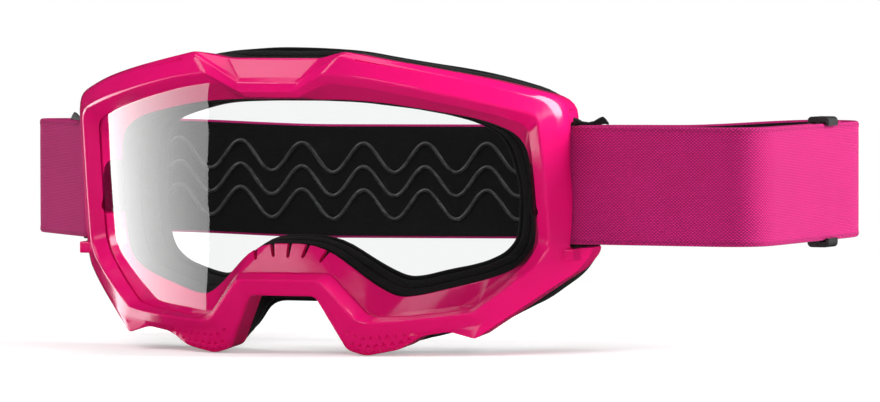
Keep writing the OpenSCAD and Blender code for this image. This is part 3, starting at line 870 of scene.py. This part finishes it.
class GOGGLES_OT_lens(bpy.types.Operator):
    """Build the single wrapped lens, seated in the frame's groove"""

    bl_idname = "goggles.lens"
    bl_label = "Lens"

    def execute(self, context):
        edge = grown(LENS_LINE, LENS_LIP)
        shares = [0.08, 0.2, 0.32, 0.44, 0.56, 0.68, 0.78, 0.86, 0.92, 0.96, 0.985, 1]
        front, back = [], []
        for share in shares:
            flat = [Vector((c[0] * share, EYE_Z + (c[1] - EYE_Z) * share, c[2] * share, 0)) for c in edge]
            line = loop(flat)
            front.append([p + Vector((0, lens_set_back(p.x) + LENS_GAP, 0)) for p in line])
            back.append([p + Vector((0, lens_set_back(p.x) + LENS_GAP + LENS_T, 0)) for p in line])
        middle = front_y(0, EYE_Z) + lens_set_back(0) + LENS_GAP
        first, last = (0, middle, EYE_Z), (0, middle + LENS_T, EYE_Z)
        lens = plate_mesh("clear_lens", front + back[::-1], first, last)
        lens.data.set_sharp_from_angle(angle=math.radians(50))
        dress(lens, "goggles", clear_lens(context.scene.goggles_sizes), "lens_clear", "lens")
        return {"FINISHED"}


# ---- Strap guards ----

# Height of the fins above the webbing, x where they start, and how far each reaches out
GUARD_RISE = 0.35
GUARD_FROM = 89.5
LONG_GUARD, SHORT_GUARD = 14, 9
# Along a fin, as (share of its reach, its lower and upper edge)
GUARD_PROFILE = (
    (0, 0, 2.6), (0.15, 0, 2.6), (0.32, 0, 1.3), (0.5, 0, 1.0), (0.65, 0, 1.5), (0.79, 0.1, 2.7),
    (0.86, 0.3, 3.0), (0.93, 0.4, 2.2), (1, 0.2, 0.9),
)


def strap_guard(name, side, reach):
    """A thin rubber fin on a carrier block, that keeps the webbing from riding up off its bar."""
    edge = STRAP_Z + STRAP_HALF + GUARD_RISE
    rings = []
    for share, low, high in GUARD_PROFILE:
        half = 1.5 - 0.9 * share
        middle = BAR_Y - 1.5 + share
        outline = rounded_box(middle - half, middle + half, low, high, min(0.35, (high - low) * 0.3))
        rings.append([place((side * (GUARD_FROM + reach * share), y, edge + z)) for y, z in outline])
    return finish_shading(tube_mesh(name, rings), 50)


class GOGGLES_OT_strap_guards(bpy.types.Operator):
    """Build the small black fins above the strap windows"""

    bl_idname = "goggles.strap_guards"
    bl_label = "Strap guards"

    def execute(self, context):
        rubber = moulded_black("guard_rubber", 0.012, 0.22)
        for side, word, reach in ((1, "left", LONG_GUARD), (-1, "right", SHORT_GUARD)):
            dress(strap_guard("strap_guard_" + word, side, reach), "goggles", rubber, "slider_black")
        return {"FINISHED"}


# ---- Foam ----

STACK_FRONT_OUTER = grown(WALL_BACK, -0.4, FOAM_GAP + 0.2)
STACK_FRONT_INNER = grown(RIM_BACK, -0.6, FOAM_GAP + 0.1)
STACK_BACK_OUTER = whole(FACE_OUTER)
STACK_BACK_INNER = whole(FACE_INNER)


# Unevenness of the foam's skin, in metres, and how many times a metre it changes
FOAM_UNEVEN, FOAM_UNEVEN_SCALE = 0.00022, 60


def outer_at(share, out):
    """The outside of the foam stack at a share of its depth, moved outwards."""
    return grown(mixed(STACK_FRONT_OUTER, STACK_BACK_OUTER, share), out)


def inner_at(share, out):
    """The hole of the foam stack at a share of its depth, moved inwards."""
    return grown(mixed(STACK_FRONT_INNER, STACK_BACK_INNER, share), -out)


def foam_layer(name, start, stop, bulge, take, seed, crown=0.0):
    """A soft ring of the foam stack between two shares of its depth, its sides bulging a little."""
    middle = (start + stop) / 2
    lip = [outer_at(stop, 0), outer_at(middle, bulge), outer_at(start, 0)]
    hole = [inner_at(start, 0), inner_at(middle, bulge), inner_at(stop, 0)]
    rails = [loop(c) for c in lip + hole]
    for share in (0.3, 0.5, 0.7):
        row = mixed(inner_at(stop, 0), outer_at(stop, 0), share)
        rails.append([p + Vector((0, crown, 0)) for p in loop(row)])
    takes = [take, take * 1.5, take * 0.6, take * 0.6, take * 1.5, take, 2, 2, 2]
    piece = ring_mesh(name, folded(rails, takes))
    for vertex in piece.data.vertices:
        soft = noise.noise_vector(vertex.co * FOAM_UNEVEN_SCALE + Vector((seed, 0, 0)))
        vertex.co += soft * FOAM_UNEVEN
    return piece


# Notch pads: sides, and (x, how much smaller the outline is there)
PAD_FRONT, PAD_BACK, PAD_LOW, PAD_HIGH, PAD_CORNER = 50.6, 60.4, 47.2, 65.8, 2.6
PAD_LEVELS = ((77.4, 2.2), (77.9, 1.0), (78.9, 0.3), (81.6, 0.3), (82.2, 0.9))


class GOGGLES_OT_face_foam(bpy.types.Operator):
    """Build the firm base foam, the open-cell middle foam, the fleece and the strips behind the vents"""

    bl_idname = "goggles.face_foam"
    bl_label = "Face foam"

    def execute(self, context):
        sizes = context.scene.goggles_sizes
        step = FOAM_GAP / FOAM_T
        firm = cell_foam("firm_foam", sizes.foam_colour, sizes.foam_cell * 0.6, 0.00012, 3.0)
        open_cell = cell_foam("open_cell_foam", sizes.foam_colour, sizes.foam_cell, 0.0003, 7.0)
        fleece = brushed_fleece(sizes.foam_colour)
        base = foam_layer("foam_base_layer", 0, BASE_SHARE, 0.0, 0.7, 1)
        middle = foam_layer("foam_middle_layer", BASE_SHARE + step, 1 - FLEECE_SHARE, 0.35, 1.2, 2)
        face = foam_layer("face_fleece", 1 - FLEECE_SHARE + step, 1, 0.3, 1.3, 3, crown=0.8)
        dress(base, "goggles", firm, "foam_black", "foam_base")
        dress(middle, "goggles", open_cell, "foam_black", "foam_mid")
        dress(face, "goggles", fleece, "fleece_black", "foam_fleece")
        self.vent_strip(open_cell)
        self.notch_pads(open_cell)
        return {"FINISHED"}

    def vent_strip(self, material):
        outer, inner = grown(WALL_BACK, -WALL), grown(RIM, WALL, 1)
        back, front = -0.5, -2.1
        lines = ((0.2, back), (0.3, front), (0.55, front), (0.8, back))
        rails = [loop(grown(mixed(outer, inner, share), 0, dy)) for share, dy in lines]
        strip = ring_mesh("vent_foam_strip", folded(rails, [0.4, 0.4, 0.4, 0.4]))
        dress(strip, "goggles", material, "foam_black", "vent_foam")

    def notch_pads(self, material):
        """Blocks of foam that show through the notches in the rim's sides."""
        for side, name in ((1, "notch_foam_left"), (-1, "notch_foam_right")):
            rings = []
            for x, less in PAD_LEVELS:
                y_sides, z_sides = (PAD_FRONT + less, PAD_BACK - less), (PAD_LOW + less, PAD_HIGH - less)
                outline = rounded_box(*y_sides, *z_sides, PAD_CORNER)
                rings.append([place((side * x, y, z)) for y, z in outline])
            pad = tube_mesh(name, rings)
            dress(pad, "goggles", material, "foam_black")


# ---- Webbing ----


def along(a, b, s):
    return a + (b - a).normalized() * s


def right_of(u):
    return Vector((u.y, -u.x))


def aside(a, b, t):
    """The two corners of a run, moved to the right of travel by t."""
    m = right_of((b - a).normalized()) * t
    return a + m, b + m


def inset_corner(a, p, b, t):
    u, v = (p - a).normalized(), (b - p).normalized()
    return p + (right_of(u) + right_of(v)) / (1 + u.dot(v)) * t


def touch(middle, p, side):
    """Direction from a bar's middle to where the webbing's middle line touches its turn round the bar."""
    w = p - middle
    return math.atan2(w.y, w.x) + side * math.acos(LOOP_R / w.length)


def on_turn(middle, t):
    return middle + LOOP_R * Vector((math.cos(t), math.sin(t)))


def bar_turn(middle, start, stop, steps=20):
    return [on_turn(middle, start + (stop - start) * k / steps) for k in range(steps + 1)]


# Here, and in the names of the tails, hems and sliders, right is where x is positive
BAR_RIGHT = Vector((BAR_X, BAR_Y))
BAR_LEFT = Vector((-BAR_X, BAR_Y))
RIGHT_FRONT = Vector((BAR_X + 68.6, BAR_Y - 7))
RIGHT_REAR = Vector((BAR_X + 80.6, BAR_Y + 102))
LEFT_REAR = Vector((-BAR_X - 39, BAR_Y + 35))
FRONT_BEND, REAR_BEND, LEFT_BEND = 16, 30, 14
RIGHT_TAIL_S, LEFT_TAIL_S = 80, 47.2
RIGHT_SLIDER_S, LEFT_SLIDER_S = 62, 24


def strap_line():
    """Corners and curves of the webbing's middle line in plan, from its right tail to its left tail."""
    turn = 2 * math.pi
    right_out = touch(BAR_RIGHT, RIGHT_FRONT, -1) + turn
    left_out = touch(BAR_LEFT, LEFT_REAR, 1)
    start, end = on_turn(BAR_RIGHT, right_out), on_turn(BAR_LEFT, left_out)
    tail_front = inset_corner(start, RIGHT_FRONT, RIGHT_REAR, -LAYER_PITCH)
    tail_rear = inset_corner(RIGHT_REAR, LEFT_REAR, end, -LAYER_PITCH)
    right_run = aside(RIGHT_FRONT, RIGHT_REAR, -LAYER_PITCH)
    rear_run = aside(LEFT_REAR, RIGHT_REAR, LAYER_PITCH)
    right_back = touch(BAR_RIGHT, tail_front, 1)
    left_back = touch(BAR_LEFT, tail_rear, -1) + turn
    bend = 14
    return (
        [along(*right_run, RIGHT_TAIL_S)]
        + eased(right_run[1], tail_front, on_turn(BAR_RIGHT, right_back), FRONT_BEND - 2, bend)
        + bar_turn(BAR_RIGHT, right_back, right_out)
        + eased(start, RIGHT_FRONT, RIGHT_REAR, FRONT_BEND, bend)
        + eased(RIGHT_FRONT, RIGHT_REAR, LEFT_REAR, REAR_BEND, bend)
        + eased(RIGHT_REAR, LEFT_REAR, end, LEFT_BEND, bend)
        + bar_turn(BAR_LEFT, left_out, left_back)
        + eased(on_turn(BAR_LEFT, left_back), tail_rear, rear_run[1], LEFT_BEND - 3, bend)
        + [along(*rear_run, LEFT_TAIL_S)]
    )


def refined(line, pitch):
    """An open line with extra points wherever two are further apart than the pitch."""
    out = [line[0]]
    for a, b in zip(line, line[1:]):
        steps = max(1, math.ceil((b - a).length / pitch))
        out += [a.lerp(b, k / steps) for k in range(1, steps + 1)]
    return out


def smooth(f):
    c = max(0.0, min(1.0, f))
    return c * c * (3 - 2 * c)


def strap_mid(p):
    """Middle height of the webbing: level at the sides, lower behind the head."""
    if p.y <= BAR_Y + 30:
        return STRAP_Z
    return STRAP_Z - DROOP * smooth((p.x + BAR_X - 5) / 65) * smooth((BAR_X + 60 - p.x) / 50)


def band_section():
    """The webbing's section as (side, height, outer side or not): flat, with a plumper rib at each edge."""
    t, h = STRAP_T / 2, STRAP_HALF
    heights = [-h + 0.25, -h + 0.9, -h + 1.8, -h + 2.6]
    rows = heights + [v for v in (-14, -9, -4.5, 0, 4.5, 9, 14)] + [-v for v in reversed(heights)]
    thick = {0: 0.62, 1: 1.0, 2: 1.0, 3: 0.86}
    out = []
    for k, v in enumerate(rows):
        out.append((t * thick.get(min(k, len(rows) - 1 - k), 0.9), v, True))
    out.append((0, h, True))
    for side, v, _ in reversed(out[:-1]):
        out.append((-side, v, False))
    out.append((0, -h, True))
    return out


def band_mesh(name, line, section, outer, inner):
    """A band along an open line in plan, with its length and height stored as UVs in millimetres."""
    rings, lengths, length = [], [], 0.0
    for i, p in enumerate(line):
        u = (line[min(len(line) - 1, i + 1)] - line[max(0, i - 1)]).normalized()
        side = right_of(u)
        length += (p - line[i - 1]).length if i else 0.0
        lengths.append(length)
        z = strap_mid(p)
        rings.append([place((p.x + side.x * s, p.y + side.y * s, z + v)) for s, v, _ in section])
    n = len(section)
    tops = [0 if section[i][2] or section[(i + 1) % n][2] else 1 for i in range(n)]
    rows = tops * (len(rings) - 1) + [0, 0]
    band = tube_mesh(name, rings, rows)
    layer = band.data.uv_layers.new(name="along")
    for corner in band.data.loops:
        i, k = divmod(corner.vertex_index, n)
        layer.data[corner.index].uv = (lengths[i], section[k][1])
    band.data.materials.append(outer)
    band.data.materials.append(inner)
    return band


# Along a hem, as (distance from its end, growth over the webbing's half thickness)
HEM_LEVELS = ((2.9, 0.02), (2.7, 0.45), (2.0, 0.5), (1.2, 0.5), (0.4, 0.5), (0, 0.1))
HEM_PAST_END, HEM_CORNER = 0.4, 0.6


class GOGGLES_OT_strap(bpy.types.Operator):
    """Build the elastic webbing with its two doubled tails, and the sewn hems that end them"""

    bl_idname = "goggles.strap"
    bl_label = "Elastic webbing"

    def execute(self, context):
        sizes = context.scene.goggles_sizes
        outer = webbing(sizes, "webbing_outer", sizes.strap_colour, 0.12, False)
        inner = webbing(sizes, "webbing_lining", sizes.inner_colour, 0.04, True)
        line = refined(strap_line(), 3.0)
        band = band_mesh("elastic_webbing", line, band_section(), outer, inner)
        band.data.set_sharp_from_angle(angle=math.radians(60))
        dress(band, "goggles", outer, "webbing_pink", "strap")
        for name, end in (("tail_hem_left", line[-5:]), ("tail_hem_right", line[4::-1])):
            self.hem(name, end, outer)
        return {"FINISHED"}

    def hem(self, name, end, material):
        """The tail's end turned over: a thicker sleeve round it."""
        first, last = end[0], end[-1]
        last = last + (last - first).normalized() * HEM_PAST_END
        side = right_of((last - first).normalized())
        rings = []
        for back, more in HEM_LEVELS:
            p = along(first, last, (last - first).length - back)
            t, h = STRAP_T / 2 + more, STRAP_HALF + more * 0.5
            outline = rounded_box(-t, t, -h, h, HEM_CORNER)
            z = strap_mid(p)
            rings.append([place((p.x + side.x * s, p.y + side.y * s, z + v)) for s, v in outline])
        hem = tube_mesh(name, rings)
        layer = hem.data.uv_layers.new(name="along")
        heights = [v for _, v in rounded_box(-1, 1, -STRAP_HALF, STRAP_HALF, HEM_CORNER)]
        for corner in hem.data.loops:
            i, k = divmod(corner.vertex_index, len(heights))
            layer.data[corner.index].uv = (i * 0.6, heights[k])
        hem.data.set_sharp_from_angle(angle=math.radians(60))
        dress(hem, "goggles", material, "webbing_pink")


# ---- Silicone grip ----

GRIP_FROM = 48.8
GRIP_WAVES = 8
WAVE_L = 22.4
WAVE_H = 10.5
ROW_PITCH = 8.4
BEAD_W = 1.4
BEAD_H = 0.8


def grip_bead(name, row):
    """One wavy bead on the inner face of the rear run, its width wandering as a nozzle leaves it."""
    u = (RIGHT_REAR - LEFT_REAR).normalized()
    inward = right_of(u)
    steps = 28
    rings = []
    for i in range(GRIP_WAVES * steps + 1):
        turn = 2 * math.pi * i / steps
        p = along(LEFT_REAR, RIGHT_REAR, GRIP_FROM + WAVE_L * i / steps)
        tilt = math.pi * WAVE_H / WAVE_L * math.cos(turn)
        z = strap_mid(p) + row * ROW_PITCH + math.sin(turn) * WAVE_H / 2
        wander = 1 + 0.12 * noise.noise(Vector((i * 0.23, row * 5.0, 0)))
        h = BEAD_W / 2 * wander / math.sqrt(1 + tilt * tilt)
        ring = []
        for k in range(8):
            angle = math.pi * k / 7
            across, high = math.cos(angle), math.sin(angle)
            lift = STRAP_T / 2 * 0.86 + (BEAD_H * wander * 0.95 + 0.06) * high
            q = p - u * tilt * h * across + inward * lift
            ring.append(place((q.x, q.y, z + h * across)))
        rings.append(ring)
    return tube_mesh(name, rings)


class GOGGLES_OT_silicone_grip(bpy.types.Operator):
    """Build the three wavy silicone beads inside the rear of the webbing"""

    bl_idname = "goggles.silicone_grip"
    bl_label = "Silicone grip"

    def execute(self, context):
        material = satin_silicone()
        for row, word in ((1, "top"), (0, "middle"), (-1, "bottom")):
            bead = grip_bead("silicone_wave_" + word, row)
            dress(bead, "goggles", material, "silicone_black", "grip_bead_" + word)
        return {"FINISHED"}


# ---- Sliders ----

# Thumb grooves across the ends of a slider: where they lie along it, their depth and half their width
THUMB_GROOVES = (-2.4, -0.8, 0.8, 2.4)
THUMB_DEPTH, THUMB_HALF = 0.45, 0.35


def slider_mesh(name, a, b, s, flip):
    """A slider on a run of the webbing: two slots, two claws, ribbed ends for the thumb."""
    slot = STRAP_T / 2 + SLOT_GAP
    half_h = STRAP_HALF + SLOT_GAP + 0.1
    inner = LAYER_PITCH + slot + SLIDER_FACE
    outer = slot + SLIDER_FACE
    high = half_h + SLIDER_WALL
    p = along(a, b, s)
    u = (b - a).normalized()
    side = right_of(u) * (-1 if flip else 1)

    def solid(outline, low, top):
        rings = []
        for level in (low, top):
            rings.append([
                place((p.x + side.x * x + u.x * level, p.y + side.y * x + u.y * level, STRAP_Z + z))
                for x, z in outline
            ])
        return tube_mesh("solid", rings)

    half = SLIDER_L / 2
    body = solid(rounded_box(-inner, outer, -high, high, 1.6, 5), -half, half)
    slots = (
        (-slot, slot, -half_h, half_h),
        (-LAYER_PITCH - slot, -LAYER_PITCH + slot, -half_h, half_h),
        (0, outer + 1, -half_h + CLAW, half_h - CLAW),
    )
    holes = [solid(rounded_box(*sides, 0.25, 2), -half - 1, half + 1) for sides in slots]
    for sign in (1, -1):
        z0, z1 = sorted((sign * (high - THUMB_DEPTH), sign * (high + 1)))
        groove = rounded_box(-inner - 1, outer + 1, z0, z1, 0.2, 2)
        holes += [solid(groove, level - THUMB_HALF, level + THUMB_HALF) for level in THUMB_GROOVES]
    for cutter in holes:
        combine(body, cutter, "DIFFERENCE")
    body.name = name
    bevel = body.modifiers.new("bevel", "BEVEL")
    bevel.width = 0.25 * MM
    bevel.segments = 2
    bevel.limit_method = "ANGLE"
    bevel.angle_limit = math.radians(40)
    settle(body)
    return finish_shading(body, 45)


class GOGGLES_OT_sliders(bpy.types.Operator):
    """Build the two sliders that hold the doubled webbing"""

    bl_idname = "goggles.sliders"
    bl_label = "Sliders"

    def execute(self, context):
        nylon = moulded_black("slider_nylon", 0.022, 0.42)
        right = slider_mesh("strap_slider_right", RIGHT_FRONT, RIGHT_REAR, RIGHT_SLIDER_S, False)
        left = slider_mesh("strap_slider_left", LEFT_REAR, RIGHT_REAR, LEFT_SLIDER_S, True)
        dress(right, "right_slider", nylon, "slider_black", "slider_right")
        dress(left, "left_slider", nylon, "slider_black", "slider_left")
        return {"FINISHED"}


# ---- Stage ----

# In metres: the floor's gap under the goggles, its radius, and where it starts and ends turning white
FLOOR_GAP, FLOOR_R, FLOOR_SIDES = 0.0002, 1.6, 96
WHITE_FROM, WHITE_TO = 0.17, 0.42
# Strength of the softbox at its far and its near end
CARD_STRONG, CARD_WEAK = 6.4, 3.3
CAMERA_AIM = (0.0556, -0.0179, -0.003)


def floor_material(clear_from, clear_to):
    """A pale floor that keeps the goggles' shadow close by and turns to plain white further off."""
    recipe = Recipe("pale_floor")
    where = recipe.add("NewGeometry").outputs["Position"]
    flat = recipe.add("VectorMath", {"operation": "MULTIPLY"}, i0=where, i1=(1.0, 1.0, 0.0)).outputs[0]
    middle = (0.02, 0.05, 0.0)
    far = recipe.add("VectorMath", {"operation": "DISTANCE"}, i0=flat, i1=middle).outputs["Value"]
    fade = recipe.spread(far, 0.0, 1.0, clear_from, clear_to, "SMOOTHSTEP")
    rays = recipe.add("LightPath")
    seen = recipe.math("MAXIMUM", rays.outputs["Is Camera Ray"], rays.outputs["Is Glossy Ray"])
    seen = recipe.math("MAXIMUM", seen, rays.outputs["Is Transmission Ray"])
    grain = recipe.noise(where, 400.0, 2.0)
    matt = recipe.add(
        "BsdfDiffuse",
        Color=recipe.ramp(grain, 0.3, 0.7, ((0.86, 0.86, 0.86, 1.0), (0.9, 0.9, 0.9, 1.0))),
        Roughness=0.6,
    )
    glow = recipe.add("Emission", Strength=recipe.math("MULTIPLY", seen, 0.3))
    near = recipe.add("AddShader", i0=matt.outputs[0], i1=glow.outputs[0])
    white = recipe.add("Emission", Strength=1.0)
    share = recipe.math("MULTIPLY", fade, seen)
    surface = recipe.add("MixShader", i0=share, i1=near.outputs[0], i2=white.outputs[0])
    return recipe.finish(surface.outputs[0])


def card_material(strong, weak):
    """A softbox face, brighter towards its far end."""
    recipe = Recipe("softbox_card")
    where = recipe.add("TexCoord").outputs["Generated"]
    share = recipe.add("SeparateXYZ", Vector=where).outputs[1]
    glow = recipe.add("Emission", Strength=recipe.spread(share, weak, strong, 0.48, 0.87, "SMOOTHSTEP"))
    return recipe.finish(glow.outputs[0])


def sheet_mesh(name, corners):
    mesh = bpy.data.meshes.new(name)
    mesh.from_pydata([tuple(c) for c in corners], [], [tuple(range(len(corners)))])
    return new_object(name, mesh)


def area_lamp(name, spot, aim, size, power):
    lamp = bpy.data.lights.new(name, "AREA")
    lamp.shape = "RECTANGLE"
    lamp.size, lamp.size_y = size
    lamp.energy = power
    made = new_object(name, lamp)
    made.location = spot
    made.rotation_euler = (Vector(aim) - Vector(spot)).to_track_quat("-Z", "Y").to_euler()
    return made


class GOGGLES_OT_stage(bpy.types.Operator):
    """Build the floor, the soft lamps, the softbox that the lens mirrors, and the camera"""

    bl_idname = "goggles.stage"
    bl_label = "Stage"

    def execute(self, context):
        stage = context.scene.goggles_stage
        self.floor()
        self.world(context, stage.fill)
        self.lamps()
        self.card()
        self.camera(context, stage)
        context.scene.view_settings.view_transform = "Standard"
        return {"FINISHED"}

    def floor(self):
        level = min(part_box("frame")[0].z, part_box("strap")[0].z) - FLOOR_GAP
        angles = [k * math.pi / (FLOOR_SIDES / 2) for k in range(FLOOR_SIDES)]
        points = [(math.cos(a) * FLOOR_R, math.sin(a) * FLOOR_R, level) for a in angles]
        floor = sheet_mesh("studio_floor", points)
        floor.data.materials.append(floor_material(WHITE_FROM, WHITE_TO))
        floor.visible_glossy = False

    def world(self, context, fill):
        """White where it is seen or shines through, an even fill light, and dimmer in reflections."""
        recipe = Recipe("studio", world=True)
        rays = recipe.add("LightPath").outputs
        glossy = recipe.math("MULTIPLY_ADD", rays["Is Glossy Ray"], -0.12, fill)
        seen = recipe.math("MAXIMUM", rays["Is Camera Ray"], rays["Is Transmission Ray"])
        level = recipe.math("MAXIMUM", seen, glossy)
        glow = recipe.add("Background", Color=(1.0, 1.0, 1.0, 1.0), Strength=level)
        context.scene.world = recipe.finish(glow.outputs[0])

    def lamps(self):
        aim = (0.02, 0.02, 0.0)
        area_lamp("key_lamp", (-0.55, -0.75, 0.95), aim, (0.7, 0.7), 8)
        area_lamp("top_lamp", (0.05, 0.1, 1.1), aim, (1.1, 0.6), 4.5)
        area_lamp("side_lamp", (1.0, 0.35, 0.3), (0.14, 0.05, 0.0), (0.35, 0.8), 17)
        area_lamp("front_lamp", (0.65, -1.2, 0.25), aim, (0.7, 0.5), 3.6)

    def card(self):
        """A slanted softbox to the wearer's right, seen only in reflections."""
        x, far, low, high = -0.62, 0.32, -0.45, 0.03
        corners = [(x, 0.18, low), (x, far, low), (x, far, high), (x, -1.22, high)]
        card = sheet_mesh("softbox_face", corners)
        card.data.materials.append(card_material(CARD_STRONG, CARD_WEAK))
        for ray in ("camera", "diffuse", "shadow", "transmission"):
            setattr(card, "visible_" + ray, False)

    def camera(self, context, stage):
        a, e, roll = stage.azimuth, stage.elevation, stage.roll
        aim = Vector(CAMERA_AIM)
        back = Vector((math.sin(a) * math.cos(e), -math.cos(a) * math.cos(e), math.sin(e)))
        right = Vector((math.cos(a), math.sin(a), 0))
        up = back.cross(right)
        turned = right * math.cos(roll) + up * math.sin(roll)
        upright = back.cross(turned)
        data = bpy.data.cameras.new("camera")
        data.lens = stage.lens_mm
        data.sensor_width = 36
        data.clip_end = 100
        camera = new_object("camera", data)
        camera.matrix_world = Matrix.Translation(aim + back * stage.distance) @ Matrix(
            (turned, upright, back)
        ).transposed().to_4x4()
        context.scene.camera = camera


class GOGGLES_PT_panel(bpy.types.Panel):
    """Sizes and steps of the goggles"""

    bl_idname = "GOGGLES_PT_panel"
    bl_label = "Motocross Goggles"
    bl_space_type = "VIEW_3D"
    bl_region_type = "UI"
    bl_category = "Goggles"

    def draw(self, context):
        for group in (context.scene.goggles_sizes, context.scene.goggles_stage):
            box = self.layout.box()
            for name in group.__annotations__:
                box.prop(group, name)
        for operator in OPERATORS:
            self.layout.operator(operator.bl_idname)


OPERATORS = (
    GOGGLES_OT_stage,
    GOGGLES_OT_frame_shell,
    GOGGLES_OT_strap_guards,
    GOGGLES_OT_lens,
    GOGGLES_OT_face_foam,
    GOGGLES_OT_strap,
    GOGGLES_OT_silicone_grip,
    GOGGLES_OT_sliders,
)
CLASSES = (GogglesSizes, StageSizes, *OPERATORS, GOGGLES_PT_panel)


def register():
    for cls in CLASSES:
        bpy.utils.register_class(cls)
    bpy.types.Scene.goggles_sizes = bpy.props.PointerProperty(type=GogglesSizes)
    bpy.types.Scene.goggles_stage = bpy.props.PointerProperty(type=StageSizes)


def unregister():
    del bpy.types.Scene.goggles_stage
    del bpy.types.Scene.goggles_sizes
    for cls in reversed(CLASSES):
        bpy.utils.unregister_class(cls)


def main():
    register()
    bpy.ops.goggles.stage()
    bpy.ops.goggles.frame_shell()
    bpy.ops.goggles.strap_guards()
    bpy.ops.goggles.lens()
    bpy.ops.goggles.face_foam()
    bpy.ops.goggles.strap()
    bpy.ops.goggles.silicone_grip()
    bpy.ops.goggles.sliders()


if __name__ == "__main__":
    main()
